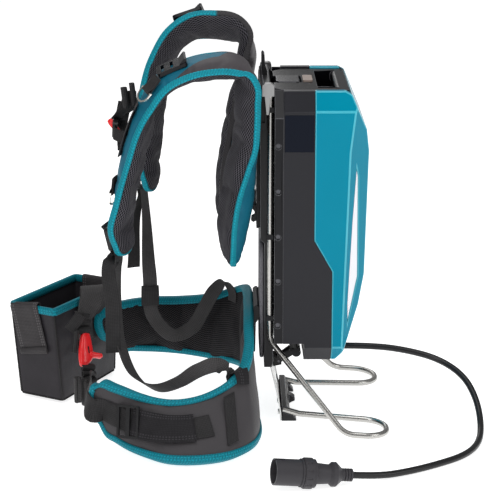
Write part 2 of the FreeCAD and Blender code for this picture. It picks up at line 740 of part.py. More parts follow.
def case_screws():
    seat = CASE_HALF_WIDTH - SCREW_HOLE_DEPTH
    heads = []
    for z in screw_heights():
        head = rod((seat, SCREW_Y, z), (seat + SCREW_HEAD_HEIGHT, SCREW_Y, z), SCREW_HEAD_RADIUS)
        slot = box(seat + 1.6, seat + SCREW_HEAD_HEIGHT + 1, SCREW_Y - 0.6, SCREW_Y + 0.6, z - 2.4, z + 2.4)
        head = head.cut(slot)
        heads.append(head)
        heads.append(mirrored(head))
    return group(heads)


def side_windows():
    pane = box(CASE_HALF_WIDTH - WINDOW_DEPTH, CASE_HALF_WIDTH, WINDOW_FRONT_Y + 0.2, WINDOW_REAR_Y - 0.2,
               WINDOW_BOTTOM_Z + 0.2, WINDOW_TOP_Z - 0.2)
    return both_sides(pane)


def reflector_strips():
    return both_sides(strip_solid(STRIP_THICKNESS, STRIP_POCKET, 0))


def deck_top():
    return CASE_TOP_Z - DECK_DROP


def handle_deck():
    # the top moulding: a rim round the hand well, the platform for the lid and button, and the grip
    front = CASE_FRONT_Y - COVER_DEPTH + SEAT_GAP
    rear = RECESS_REAR_Y - SEAT_GAP
    top = deck_top()
    low = CASE_TOP_Z - RECESS_DEPTH
    wide = DECK_HALF_WIDTH
    outline = [(-wide + DECK_CORNER, front), (wide - DECK_CORNER, front), (wide, front + DECK_CORNER),
               (wide, rear - 6), (wide - 6, rear), (-wide + 6, rear), (-wide, rear - 6),
               (-wide, front + DECK_CORNER)]
    deck = prism_z(outline, low, top)
    platform = WELL_FRONT_Y - DECK_WALL
    under = prism_z(inset_outline([(-wide + DECK_CORNER, front), (wide - DECK_CORNER, front),
                                   (wide, front + DECK_CORNER), (wide, platform), (-wide, platform),
                                   (-wide, front + DECK_CORNER)], DECK_WALL),
                    low - 1, top - LID_HEIGHT - DECK_WALL)
    well_floor = low + DECK_WALL
    well = box(-WELL_HALF_WIDTH, WELL_HALF_WIDTH, WELL_FRONT_Y, rear - DECK_WALL, well_floor, top + 1)
    deck = deck.cut(under).cut(well)
    grip = box(-WELL_HALF_WIDTH, WELL_HALF_WIDTH, GRIP_FRONT_Y, rear, top - GRIP_HEIGHT, top)
    rounds = [edge for edge in grip.Edges
              if abs(edge.Vertexes[0].Y - GRIP_FRONT_Y) < 0.01 and abs(edge.Vertexes[1].Y - GRIP_FRONT_Y) < 0.01
              and edge.Length > WELL_HALF_WIDTH]
    grip = grip.makeFillet(GRIP_ROUND, rounds)
    deck = deck.fuse(grip)
    seat = box(-LID_HALF_WIDTH - SEAT_GAP, LID_HALF_WIDTH + SEAT_GAP, front - 1, LID_REAR_Y + 5.2,
               top - LID_HEIGHT - SEAT_GAP, top + 1)
    button_hole = box(-BUTTON_HALF_WIDTH - SEAT_GAP, BUTTON_HALF_WIDTH + SEAT_GAP, BUTTON_FRONT_Y - SEAT_GAP,
                      BUTTON_REAR_Y + SEAT_GAP, low - 1, top + 1)
    pin_hole = rod((-LID_PIN_HALF_LENGTH, LID_REAR_Y, lid_pin_height()),
                   (LID_PIN_HALF_LENGTH, LID_REAR_Y, lid_pin_height()), LID_PIN_RADIUS)
    deck = deck.cut(seat).cut(button_hole).cut(pin_hole)
    # two small drain slots beside the button
    for sign in (1, -1):
        middle = sign * (BUTTON_HALF_WIDTH + 14)
        deck = deck.cut(box(middle - 3, middle + 3, BUTTON_FRONT_Y, BUTTON_FRONT_Y + 9, low, top + 1))
    return deck.removeSplitter()


def lid_pin_height():
    return deck_top() - 3.0


def port_lid():
    # the boxy lid in front of the button, hinged at its rear top edge
    top = deck_top() + 1.6
    low = deck_top() - LID_HEIGHT
    y0 = LID_FRONT_Y
    y1 = LID_REAR_Y
    pin = lid_pin_height()
    body = prism_x([(y0 + 3, low), (y1 - 4, low), (y1, pin - 2.6), (y1, top), (y0 + 2, top), (y0, top - 4),
                    (y0, low + 4)], -LID_HALF_WIDTH, LID_HALF_WIDTH)
    body = body.fuse(rod((-LID_HALF_WIDTH, y1, pin), (LID_HALF_WIDTH, y1, pin), 2.6))
    for sign in (1, -1):
        edge = [(sign * (LID_HALF_WIDTH + 1), y0 - 1), (sign * (LID_HALF_WIDTH - 7), y0 - 1),
                (sign * (LID_HALF_WIDTH + 1), y0 + 9)]
        body = body.cut(prism_z(edge, low - 1, top + 1))
        rim = [(sign * (LID_HALF_WIDTH + 1), top + 1), (sign * (LID_HALF_WIDTH - 3), top + 1),
               (sign * (LID_HALF_WIDTH + 1), top - 3)]
        body = body.cut(prism_y(rim, y0 - 1, y1 - 5))
    hollow = box(-LID_HALF_WIDTH + 3, LID_HALF_WIDTH - 3, y0 + 6, y1 - 8, low - 1, top - 3)
    hole = rod((-LID_HALF_WIDTH - 1, y1, pin), (LID_HALF_WIDTH + 1, y1, pin), LID_PIN_RADIUS + RUN_GAP)
    return body.cut(hollow).cut(hole).removeSplitter()


def lid_pin():
    end = LID_PIN_HALF_LENGTH
    return rod((-end, LID_REAR_Y, lid_pin_height()), (end, LID_REAR_Y, lid_pin_height()), LID_PIN_RADIUS)


def power_button():
    top = deck_top() + BUTTON_STANDS
    pad = box(-BUTTON_HALF_WIDTH, BUTTON_HALF_WIDTH, BUTTON_FRONT_Y, BUTTON_REAR_Y, top - BUTTON_HEIGHT, top)
    upright = [edge for edge in pad.Edges if abs(edge.Vertexes[0].Z - edge.Vertexes[1].Z) > 1]
    return pad.makeFillet(4.0, upright)


# Inside the case

def cell_row_height(index):
    return CELL_BOTTOM_Z + CELL_ROW_PITCH * index


def cell_blocks():
    # each row of cells lies in its own shrunk sleeve, so a row is one solid with narrowed ends
    rows = []
    for index in range(CELL_ROWS):
        z = cell_row_height(index)
        flat = CELL_ROW_HALF_WIDTH - CELL_RADIUS
        low = z - CELL_RADIUS
        high = z + CELL_RADIUS
        wide = CELL_ROW_HALF_WIDTH
        rows.append(prism_y([(-flat, low), (flat, low), (wide, z - 4), (wide, z + 4), (flat, high), (-flat, high),
                             (-wide, z + 4), (-wide, z - 4)], CELL_FRONT_Y, CELL_FRONT_Y + CELL_LENGTH))
    return group(rows)


def holder_plate(y0):
    low = CELL_BOTTOM_Z - CELL_RADIUS - HOLDER_MARGIN
    high = cell_row_height(CELL_ROWS - 1) + CELL_RADIUS + HOLDER_MARGIN
    wide = CELL_ROW_HALF_WIDTH + HOLDER_MARGIN
    return box(-wide, wide, y0, y0 + HOLDER_THICKNESS, low, high)


def cell_holders():
    front = holder_plate(CELL_FRONT_Y - HOLDER_THICKNESS)
    rear = holder_plate(CELL_FRONT_Y + CELL_LENGTH)
    return group([front, rear])


def bus_bars():
    bars = []
    front = CELL_FRONT_Y - HOLDER_THICKNESS - BUS_THICKNESS
    rear = CELL_FRONT_Y + CELL_LENGTH + HOLDER_THICKNESS
    for index in range(0, CELL_ROWS, 2):
        for y in (front, rear):
            z = cell_row_height(index) + (CELL_ROW_PITCH / 2 if y == front else 0)
            bars.append(box(-CELL_ROW_HALF_WIDTH + 8, CELL_ROW_HALF_WIDTH - 8, y, y + BUS_THICKNESS,
                            z - BUS_WIDTH / 2, z + BUS_WIDTH / 2))
    return group(bars)


def circuit_board():
    # stands on the upper edges of the two holders' front plate
    z = cell_row_height(CELL_ROWS - 1) + CELL_RADIUS + HOLDER_MARGIN
    y = CELL_FRONT_Y - HOLDER_THICKNESS + 1
    board = box(-BOARD_HALF_WIDTH, BOARD_HALF_WIDTH, y, y + BOARD_THICKNESS, z, z + BOARD_HEIGHT)
    for x in (-60, -20, 25, 58):
        board = board.fuse(box(x, x + 16, y + BOARD_THICKNESS, y + 14, z + 12, z + 30))
    return board


# Frame

def back_plate():
    top = PLATE_TOP_Z
    rear = CASE_FRONT_Y - COVER_DEPTH - SEAT_GAP
    front = PLATE_FRONT_Y
    wide = PLATE_HALF_WIDTH
    step = PLATE_STEP_Z
    outline = [(front, step), (front + PLATE_STEP, step - PLATE_STEP), (front + PLATE_STEP, PLATE_BOTTOM_Z),
               (rear - 2, PLATE_BOTTOM_Z), (rear, PLATE_BOTTOM_Z + 10), (rear, top - 12), (rear - 8, top),
               (front + 4, top), (front, top - 5)]
    plate = prism_x(outline, -wide, wide)
    wall = PLATE_WALL
    upper = box(-wide + wall, wide - wall, front + wall, rear + 1, step, top - wall)
    lower = box(-wide + wall, wide - wall, front + PLATE_STEP + wall, rear + 1, PLATE_BOTTOM_Z - 1, step + 1)
    plate = plate.cut(upper).cut(lower)
    # cross ribs behind the front wall
    for index in range(PLATE_RIB_COUNT):
        z = step + 20 + index * PLATE_RIB_PITCH * 0.6
        rib = box(-wide + wall - 1, wide - wall + 1, front + wall - 1, rear - 4, z, z + 3)
        plate = plate.fuse(rib)
    for z in (200.0, 270.0):
        rib = box(-wide + wall - 1, wide - wall + 1, front + PLATE_STEP + wall - 1, rear - 4, z, z + 3)
        plate = plate.fuse(rib)
    return plate.removeSplitter()


def strut_line():
    # the strut plate's front face from the side, (y, z), from the top down
    return [(-32.6, 182.0), (-32.6, 108.0), (-20.0, 55.0), (BLOCK_FRONT_Y - STRUT_THICKNESS, 14.0),
            (BLOCK_FRONT_Y - STRUT_THICKNESS, 0.6)]


def strut_plate():
    line = strut_line()
    back = [(y + STRUT_THICKNESS, z) for y, z in line]
    plate = prism_x(line + back[::-1], -STRUT_HALF_WIDTH, STRUT_HALF_WIDTH)
    # a broad opening between the two legs
    opening = prism_y([(-46, 30), (46, 30), (54, 38), (38, 66), (-38, 66), (-54, 38)], -60, 20)
    return plate.cut(opening).removeSplitter()


def strut_bosses():
    # posts between the back plate's wall and the strut plate, with their screws' heads behind it
    front = PLATE_FRONT_Y + PLATE_STEP + PLATE_WALL
    posts = []
    for x in (-60, 60):
        for z in (128.0, 168.0):
            posts.append(rod((x, front, z), (x, strut_line()[0][0], z), 7.0))
            posts.append(rod((x, strut_line()[0][0] + STRUT_THICKNESS, z),
                             (x, strut_line()[0][0] + STRUT_THICKNESS + 3.0, z), 5.0))
    return posts


def foot_points():
    return [(ROD_X, ROD_Y, ROD_TOP_Z), (ROD_X, ROD_Y, ROD_BEND_Z), (FOOT_OUTER_X, FOOT_DOWN_Y, FOOT_DOWN_Z),
            (FOOT_OUTER_X, FOOT_TIP_Y, ROD_RADIUS), (FOOT_INNER_X, FOOT_TIP_Y, ROD_RADIUS),
            (FOOT_HEEL_X, FOOT_HEEL_Y, FOOT_HEEL_Z), (FOOT_HEEL_X - 2, BLOCK_FRONT_Y + 2.5, FOOT_HEEL_Z + 8)]


def foot_wire():
    radii = [ROD_BEND_RADIUS, FOOT_DOWN_RADIUS, FOOT_TURN_RADIUS, FOOT_TURN_RADIUS, 12.0]
    return tube(rounded_wire(foot_points(), radii), ROD_RADIUS)


def base_block():
    wide = STRUT_HALF_WIDTH
    block = box(-wide, wide, BLOCK_FRONT_Y, BLOCK_REAR_Y, 0, BLOCK_HEIGHT)
    low = BLOCK_HEIGHT - BLOCK_BEVEL - 1
    high = BLOCK_HEIGHT + 1
    ridge = [(BLOCK_REAR_Y, high), (BLOCK_REAR_Y - BLOCK_BEVEL, high), (BLOCK_REAR_Y, low), (BLOCK_REAR_Y + 1, low),
             (BLOCK_REAR_Y + 1, high)]
    block = block.cut(prism_x(ridge, -wide - 1, wide + 1))
    heel = prism_x([(BLOCK_REAR_Y - 1, 0), (BLOCK_FOOT_REAR_Y, 0), (BLOCK_FOOT_REAR_Y, BLOCK_FOOT_LIP),
                    (BLOCK_REAR_Y - 1, BLOCK_FOOT_TOP)], wide - BLOCK_FOOT_WIDTH, wide)
    hook = prism_x(shifted(BLOCK_HOOK, BLOCK_REAR_Y, 0), -BLOCK_HOOK_HALF_WIDTH, BLOCK_HOOK_HALF_WIDTH)
    block = block.fuse([heel, mirrored(heel), hook])
    wire = foot_wire()
    return block.cut(wire).cut(mirrored(wire)).removeSplitter()


def rod_clips():
    # plastic clips that tie each rod to the edge of the back plate
    clips = []
    for z in CLIP_HEIGHTS:
        clip = box(PLATE_HALF_WIDTH, ROD_X + ROD_RADIUS + 1.2, ROD_Y - ROD_RADIUS - 1.2, ROD_Y + ROD_RADIUS + 0.5,
                   z - CLIP_HEIGHT / 2, z + CLIP_HEIGHT / 2)
        bore = rod((ROD_X, ROD_Y, z - CLIP_HEIGHT), (ROD_X, ROD_Y, z + CLIP_HEIGHT), ROD_RADIUS)
        slit = box(ROD_X - 3, ROD_X + 3, ROD_Y, ROD_Y + 20, z - CLIP_HEIGHT, z + CLIP_HEIGHT)
        clip = clip.cut(bore).cut(slit)
        clips.append(clip)
        clips.append(mirrored(clip))
    return group(clips)


def top_bracket():
    # a bent steel cap over the end of the rod, with a long tapered tongue at its outer side
    x0 = PLATE_HALF_WIDTH + SEAT_GAP + LOOP_THICKNESS + SEAT_GAP
    x1 = ROD_X + ROD_RADIUS + 5
    y0 = ROD_Y - 14
    y1 = ROD_Y + ROD_RADIUS + 0.6
    top = PLATE_TOP_Z + 2
    cap = box(x0, x1, y0, y1, ROD_TOP_Z, top)
    upright = [edge for edge in cap.Edges if abs(edge.Vertexes[0].Z - edge.Vertexes[1].Z) < 0.1
               and abs(edge.Vertexes[0].Y - edge.Vertexes[1].Y) < 0.1 and edge.Vertexes[0].Z > top - 1]
    cap = cap.makeFillet(6.0, upright)
    hollow = box(x0 + 2.5, x1 - 2.5, y0 - 1, y1 + 1, ROD_TOP_Z - 1, ROD_TOP_Z + 6)
    tongue = prism_x([(y0 + 4, ROD_TOP_Z + 1), (y1 - 6, ROD_TOP_Z + 1), (ROD_Y - 3, ROD_TOP_Z - 30),
                      (ROD_Y - 7, ROD_TOP_Z - 30)], x1 - 2.5, x1)
    shape = cap.cut(hollow).fuse(tongue)
    plug = rod((ROD_X, ROD_Y, ROD_TOP_Z), (ROD_X, ROD_Y, ROD_TOP_Z + 7), ROD_RADIUS)
    return shape.fuse(plug).removeSplitter()


def hanger_tab():
    # the narrow tab at the top middle of the back plate
    tab = prism_x(shifted(TAB_SIDE, PLATE_FRONT_Y, PLATE_TOP_Z), -TAB_HALF_WIDTH, TAB_HALF_WIDTH)
    front = PLATE_FRONT_Y - 1
    rear = PLATE_FRONT_Y + TAB_DEPTH
    z = PLATE_TOP_Z + TAB_SLOT_HEIGHT
    slot = box(-TAB_SLOT_HALF_WIDTH, TAB_SLOT_HALF_WIDTH, front, rear, z - TAB_SLOT_RADIUS, z + TAB_SLOT_RADIUS)
    for x in (-TAB_SLOT_HALF_WIDTH, TAB_SLOT_HALF_WIDTH):
        slot = slot.fuse(rod((x, front, z), (x, rear, z), TAB_SLOT_RADIUS))
    return tab.cut(slot).removeSplitter()


def plate_pad():
    front = PLATE_FRONT_Y - SEAT_GAP
    pad = box(-PAD_HALF_WIDTH, PAD_HALF_WIDTH, front, front + PAD_THICKNESS, PLATE_BOTTOM_Z + 4, PLATE_STEP_Z - 8)
    upright = [edge for edge in pad.Edges if abs(edge.Vertexes[0].Y - edge.Vertexes[1].Y) > 1]
    return pad.makeFillet(10.0, upright)


def harness_plate():
    # the carrier of the shoulder straps, in front of the back plate
    rear = PLATE_FRONT_Y - SEAT_GAP
    front = rear - CARRIER_THICKNESS
    wide = CARRIER_HALF_WIDTH
    plate = box(-wide, wide, front, rear, CARRIER_BOTTOM_Z, CARRIER_TOP_Z)
    for z in CARRIER_SLOTS:
        slot = box(-CARRIER_SLOT_HALF_WIDTH, CARRIER_SLOT_HALF_WIDTH, front - 1, rear + 1, z, z + CARRIER_SLOT_HEIGHT)
        plate = plate.cut(slot)
    corners = [edge for edge in plate.Edges if abs(edge.Vertexes[0].Y - edge.Vertexes[1].Y) > 1
               and abs(abs(edge.Vertexes[0].X) - wide) < 0.1]
    plate = plate.makeFillet(CARRIER_CORNER, corners)
    hook = harness_hook()
    return plate.fuse([hook, mirrored(hook)])


def harness_hook():
    # one of the two small double hooks at the lower end of the carrier
    face = PLATE_FRONT_Y - SEAT_GAP - CARRIER_THICKNESS
    return prism_x(shifted(CARRIER_HOOK, face, 0), CARRIER_HOOK_X, CARRIER_HOOK_X + CARRIER_HOOK_WIDTH)


def strap_loops():
    # flat loops at the sides of the back plate that the shoulder straps hook on
    x0 = PLATE_HALF_WIDTH + SEAT_GAP
    x1 = x0 + LOOP_THICKNESS
    y = PLATE_FRONT_Y + LOOP_SET_BACK
    outer = box(x0, x1, y - LOOP_RADIUS, y + LOOP_RADIUS, LOOP_BOTTOM_Z, LOOP_TOP_Z)
    for z in (LOOP_BOTTOM_Z, LOOP_TOP_Z):
        outer = outer.fuse(rod((x0, y, z), (x1, y, z), LOOP_RADIUS))
    inner = box(x0 - 1, x1 + 1, y - LOOP_SLOT_HALF, y + LOOP_SLOT_HALF, LOOP_SLOT_BOTTOM_Z, LOOP_SLOT_TOP_Z)
    return both_sides(outer.cut(inner).removeSplitter())


def belt_bracket():
    # the curved arm that carries the hip belt's plate
    rear = PLATE_FRONT_Y - SEAT_GAP
    arm = prism_x(shifted(ARM_SIDE, rear, 0), -ARM_HALF_WIDTH, ARM_HALF_WIDTH)
    window = box(-ARM_WINDOW_HALF_WIDTH, ARM_WINDOW_HALF_WIDTH, rear - ARM_DEPTH, rear + 1, ARM_WINDOW_BOTTOM_Z,
                 ARM_WINDOW_TOP_Z)
    return arm.cut(window).removeSplitter()


def latch_bracket():
    x = LATCH_HALF_WIDTH + 0.3
    y = LATCH_PIVOT_Y
    z = LATCH_PIVOT_Z
    ears = []
    for sign in (1, -1):
        a, b = sorted((sign * x, sign * (x + 4)))
        ears.append(prism_x([(-23.3, z - 9), (y + 5, z - 6), (y + 5, z + 5), (y - 2, z + 7), (-27.0, z + 7)], a, b))
    back = prism_x([(-22.8, z - 9), (-20.0, z - 9), (-23.2, z + 7), (-26.6, z + 7)], -x - 4, x + 4)
    bracket = back.fuse(ears)
    bracket = half_space_cut(bracket, (0, -20.0 + STRUT_THICKNESS + SEAT_GAP, 55.0), strut_front_normal())
    hole = rod((-x - 5, y, z), (x + 5, y, z), LATCH_PIN_RADIUS)
    return bracket.cut(hole).removeSplitter()


def strut_front_normal():
    # points out of the sloping part of the strut plate towards the wearer
    (y0, z0), (y1, z1) = strut_line()[1:3]
    length = math.hypot(y1 - y0, z1 - z0)
    return (0, (z1 - z0) / length, -(y1 - y0) / length)


def latch_pin():
    end = LATCH_HALF_WIDTH + 4.3
    return rod((-end, LATCH_PIVOT_Y, LATCH_PIVOT_Z), (end, LATCH_PIVOT_Y, LATCH_PIVOT_Z), LATCH_PIN_RADIUS)


def latch_lever():
    y = LATCH_PIVOT_Y
    z = LATCH_PIVOT_Z
    wide = LATCH_HALF_WIDTH
    head_y = LATCH_HEAD_Y
    head_z = LATCH_HEAD_Z
    arm = prism_x([(y - 3, z - 3.6), (y + 3, z - 4), (head_y - 3, head_z - 7), (head_y, head_z + 3),
                   (head_y - 8, head_z + 3), (y, z + 4.4)], -wide, wide)
    arm = arm.fuse(rod((-wide, y, z), (wide, y, z), 4.4))
    window = prism_x([(y + 7, z - 8), (head_y - 9, head_z - 14), (head_y - 9, head_z + 8), (y + 7, z + 12)],
                     -wide + 5, wide - 5)
    arm = arm.cut(window)
    head = rod((-LATCH_HEAD_HALF_WIDTH, head_y, head_z), (LATCH_HEAD_HALF_WIDTH, head_y, head_z), LATCH_HEAD_RADIUS)
    lip = box(-LATCH_HEAD_HALF_WIDTH + 4, LATCH_HEAD_HALF_WIDTH - 4, head_y - 11, head_y, head_z - 1, head_z + 7)
    hole = rod((-wide - 1, y, z), (wide + 1, y, z), LATCH_PIN_RADIUS + RUN_GAP)
    return arm.fuse([head, lip]).cut(hole).removeSplitter()


# Harness: lines of the soft pieces, each row is x, y, z of the middle, then the direction of the width,
# then the width

LEFT_STRAP = [
    (88, -92, 295, 0.95, 0.25, 0.0, 44),
    (90, -90, 315, 0.95, 0.27, 0.0, 64),
    (92, -86, 352, 0.95, 0.28, 0.0, 74),
    (93, -77, 405, 0.95, 0.28, 0.0, 74),
    (94, -72, 450, 0.94, 0.33, 0.0, 74),
    (94, -68, 483, 0.93, 0.36, 0.0, 74),
    (95, -67, 516, 0.93, 0.36, 0.0, 74),
    (95, -66, 556, 0.93, 0.36, -0.02, 74),
    (95, -65, 588, 0.94, 0.3, -0.08, 74),
    (95, -72, 608, 0.95, 0.14, -0.16, 74),
    (95, -88, 616, 0.96, 0.04, -0.19, 74),
    (95, -130, 617, 0.96, 0.0, -0.19, 74),
    (95, -165, 610, 0.96, 0.0, -0.19, 74),
    (95, -205, 593, 0.96, 0.05, -0.19, 74),
    (95, -237, 552, 0.97, -0.02, -0.1, 74),
    (95, -251, 511, 0.975, -0.2, 0.0, 73),
    (94, -264, 466, 0.975, -0.22, 0.0, 70),
    (92, -272, 425, 0.97, -0.24, 0.0, 67),
    (90, -276, 385, 0.96, -0.28, 0.0, 64),
    (89, -281, 345, 0.92, -0.39, 0.0, 60),
    (88, -274, 314, 0.88, -0.47, 0.0, 46),
]

RIGHT_STRAP = [
    (-88, -100, 290, 0.94, -0.3, 0.0, 44),
    (-90, -99, 313, 0.93, -0.36, 0.0, 66),
    (-92, -97, 356, 0.93, -0.36, 0.0, 74),
    (-93, -94, 410, 0.94, -0.34, 0.0, 74),
    (-94, -88, 455, 0.95, -0.3, 0.0, 74),
    (-94, -82, 492, 0.96, -0.28, 0.0, 74),
    (-95, -76, 525, 0.96, -0.27, 0.0, 74),
    (-95, -68, 566, 0.97, -0.22, 0.0, 74),
    (-95, -63, 602, 0.95, -0.15, 0.18, 74),
    (-95, -69, 629, 0.86, -0.05, 0.5, 74),
    (-95, -88, 645, 0.77, 0.0, 0.63, 74),
    (-95, -124, 651, 0.76, 0.0, 0.65, 74),
    (-95, -160, 648, 0.77, -0.03, 0.63, 74),
    (-95, -192, 627, 0.8, -0.15, 0.55, 74),
    (-95, -215, 586, 0.84, -0.38, 0.3, 74),
    (-95, -228, 540, 0.86, -0.47, 0.08, 74),
    (-95, -234, 495, 0.87, -0.48, 0.0, 72),
    (-94, -238, 458, 0.88, -0.46, 0.0, 68),
    (-92, -239, 426, 0.89, -0.44, 0.0, 62),
    (-90, -237, 399, 0.9, -0.42, 0.0, 54),
    (-89, -235, 379, 0.91, -0.4, 0.0, 40),
]


def shoulder_pad(stations):
    return padded_strap(stations, STRAP_THICKNESS)


# Hip belt: each row is the middle of the top edge, then the middle of the bottom edge

BELT_RIGHT = [
    (-101, -326, 132, -104, -317, 86),
    (-112, -312, 144, -118, -305, 66),
    (-135, -280, 147, -142, -274, 56),
    (-160, -235, 145, -168, -230, 46),
    (-173, -187, 142, -180, -185, 38),
    (-168, -135, 148, -174, -133, 31),
    (-145, -94, 166, -150, -92, 29),
    (-106, -71, 184, -108, -70, 34),
]

BELT_BACK = [
    (-106, -71, 184, -108, -70, 34),
    (-60, -66.4, 190, -60, -66.4, 44),
    (0, -66.4, 191, 0, -66.4, 46),
    (60, -66.4, 189, 62, -66.0, 40),
    (100, -67, 178, 106, -60, 24),
]

BELT_LEFT = [
    (100, -67, 178, 106, -60, 24),
    (145, -68, 153, 165, -53, 10),
    (176, -78, 129, 224, -65, 9),
    (195, -105, 106, 268, -95, 9),
    (212, -145, 90, 290, -145, 9),
    (222, -190, 86, 287, -198, 9),
    (217, -240, 95, 248, -246, 9),
    (204, -285, 108, 212, -282, 16),
    (195, -305, 112, 196, -301, 24),
    (191, -315, 104, 191, -311, 42),
]


def belt_section(top, bottom, along, thickness):
    down = bottom - top
    half = down.Length / 2
    down = down.normalize()
    normal = along.cross(down).normalize()
    middle = (top + bottom) * 0.5
    across = [-0.92, -0.46, 0.0, 0.46, 0.92]
    outline = [(-1.0, -0.5)] + [(a, -1.0) for a in across] + [(1.0, -0.5), (1.0, 0.5)]
    outline += [(a, 1.0) for a in across[::-1]] + [(-1.0, 0.5)]
    return [middle + down * (a * half) + normal * (b * thickness / 2) for a, b in outline]


def belt_frames(rows, parts):
    smooth = curve_between(rows, parts)
    frames = []
    for index, row in enumerate(smooth):
        top = V(*row[0:3])
        bottom = V(*row[3:6])
        back = smooth[max(index - 1, 0)]
        ahead = smooth[min(index + 1, len(smooth) - 1)]
        along = V(*[(ahead[k] + ahead[k + 3] - back[k] - back[k + 3]) for k in range(3)]).normalize()
        frames.append((top, bottom, along))
    return frames


def belt_pieces():
    # one smooth line for the whole belt, cut at the seams, so that the pieces meet face to face
    first = (len(BELT_RIGHT) - 1) * BELT_STEPS
    second = first + (len(BELT_BACK) - 1) * BELT_STEPS
    pieces = []
    for start, end in ((0, first), (first, second), (second, len(BELT_FRAMES) - 1)):
        rings = [belt_section(t, b, a, BELT_THICKNESS) for t, b, a in BELT_FRAMES[start:end + 1]]
        pieces.append(lofted(rings))
    return pieces


# Pouch

def pouch_frame():
    angle = math.radians(POUCH_TURN)
    along = V(math.cos(angle), math.sin(angle), 0)
    away = V(-math.sin(angle), math.cos(angle), 0)
    return V(POUCH_CORNER[0], POUCH_CORNER[1], 0), along, away


def pouch_corner(u, v, z):
    # u along the long side from the near corner, v away from the wearer
    origin, along, side = pouch_frame()
    return origin + along * u + side * v + V(0, 0, z)


def pouch_block(inset, low, high, taper_low, taper_high):
    rings = []
    for z, taper in ((low, taper_low), (high, taper_high)):
        a = inset + taper
        rings.append([pouch_corner(a, a, z), pouch_corner(POUCH_LENGTH - a, a, z),
                      pouch_corner(POUCH_LENGTH - a, POUCH_DEPTH - a, z), pouch_corner(a, POUCH_DEPTH - a, z)])
    return straight_loft(rings)


def pouch():
    low = POUCH_BOTTOM_Z
    high = low + POUCH_HEIGHT
    outer = pouch_block(0, low, high, POUCH_TAPER, 0)
    inner = pouch_block(POUCH_WALL, low + POUCH_WALL, high + 1, POUCH_TAPER, 0)
    return outer.cut(inner)


def pouch_binding():
    high = POUCH_BOTTOM_Z + POUCH_HEIGHT
    gap = SEAT_GAP
    outer = pouch_block(-BINDING_THICKNESS - gap, high - BINDING_HEIGHT, high + BINDING_THICKNESS, 0.35, 0)
    inner = pouch_block(POUCH_WALL + BINDING_THICKNESS + gap, high - BINDING_HEIGHT - 1, high + 5, 0.35, 0)
    wall = pouch_block(-gap, high - BINDING_HEIGHT - 1, high + gap, 0.35, 0)
    wall = wall.cut(pouch_block(POUCH_WALL + gap, high - BINDING_HEIGHT - 2, high + gap, 0.35, 0))
    return outer.cut(inner).cut(wall)


def pouch_strap(outline, v0, v1):
    # a band folded over a short rim; the outline holds (u, z) corners
    corners = [pouch_corner(u, v0, z) for u, z in outline]
    face = Part.Face(Part.makePolygon(corners + [corners[0]]))
    return face.extrude(pouch_corner(0, v1, 0) - pouch_corner(0, v0, 0))


def pouch_bands():
    # one band over each short rim, hanging down outside and tucked in on the inside
    high = POUCH_BOTTOM_Z + POUCH_HEIGHT
    face = SEAT_GAP + BINDING_THICKNESS + SEAT_GAP
    outer = -face - WEB_THICKNESS
    inner = POUCH_WALL + face + WEB_THICKNESS
    top = high + BINDING_THICKNESS + SEAT_GAP
    low = high - POUCH_BAND_DROP
    tuck = high - POUCH_BAND_TUCK
    slope = POUCH_TAPER / POUCH_HEIGHT
    shift = slope * POUCH_BAND_DROP
    outline = [(outer, top + WEB_THICKNESS), (inner, top + WEB_THICKNESS), (inner, tuck),
               (inner - WEB_THICKNESS, tuck), (inner - WEB_THICKNESS, top), (outer + WEB_THICKNESS, top),
               (outer + WEB_THICKNESS + shift, low), (outer + shift, low)]
    near = pouch_strap(outline, POUCH_BAND_EDGE, POUCH_BAND_EDGE + POUCH_BAND_WIDTH)
    far_outline = [(POUCH_LENGTH - u, z) for u, z in outline]
    middle = (POUCH_DEPTH - POUCH_BAND_WIDTH) / 2
    far = pouch_strap(far_outline, middle, middle + POUCH_BAND_WIDTH)
    return group([near, far])


# Webbing and fittings of the shoulder straps

def strap_seat(frames, index, lift, across=0.0):
    # where a fitting sits on a strap: its middle, its width direction and the strap's direction
    here, wide, normal, width = frames[index]
    return here + wide * across + normal * lift, wide, normal.cross(wide) * -1


def placed(shape, seat):
    # the shape is made with its width along x, its length along y and its outer face up
    origin, wide, along = seat
    wide = V(wide).normalize()
    along = (along - wide * along.dot(wide)).normalize()
    normal = wide.cross(along)
    moved = shape.copy()
    moved.Placement = placement_of(origin, wide, along, normal)
    return moved


def placement_of(origin, wide, along, normal):
    return FreeCAD.Placement(FreeCAD.Matrix(
        wide.x, along.x, normal.x, origin.x,
        wide.y, along.y, normal.y, origin.y,
        wide.z, along.z, normal.z, origin.z,
        0, 0, 0, 1))


def along_strap(frames, lift, width, across=0.0):
    # webbing that lies along the frames of a strap
    return lofted([web_ring(here + wide * across + normal * lift, wide, normal, width)
                   for here, wide, normal, own in frames])


def outer_lift(thickness, extra=0.0):
    # the middle of webbing that lies on a padded piece of this thickness
    return thickness / 2 + SEAT_GAP + WEB_THICKNESS / 2 + extra


def ring_outline(grow):
    # half-round bow with straight sides, (x, y), from the bar outwards
    half = RING_HALF_WIDTH + grow
    reach = RING_REACH + grow
    straight = RING_REACH - RING_HALF_WIDTH
    arc = [(half * math.cos(math.radians(a)), -straight - (reach - straight) * math.sin(math.radians(a)))
           for a in range(0, 181, 30)]
    return [(half, -RUN_GAP)] + arc + [(-half, -RUN_GAP)]


def d_ring():
    # a flat ring: a round bar along x at the origin, and a bow that reaches out along -y
    wire = RING_WIRE_RADIUS
    bow = prism_z(ring_outline(wire * 0.7), -wire * 0.7, wire * 0.7)
    opening = prism_z([(x, y + 1) for x, y in ring_outline(-wire * 0.7)], -wire - 1, wire + 1)
    bar = rod((-RING_HALF_WIDTH - wire * 0.7, 0, 0), (RING_HALF_WIDTH + wire * 0.7, 0, 0), wire)
    return bow.cut(opening).fuse(bar).removeSplitter()


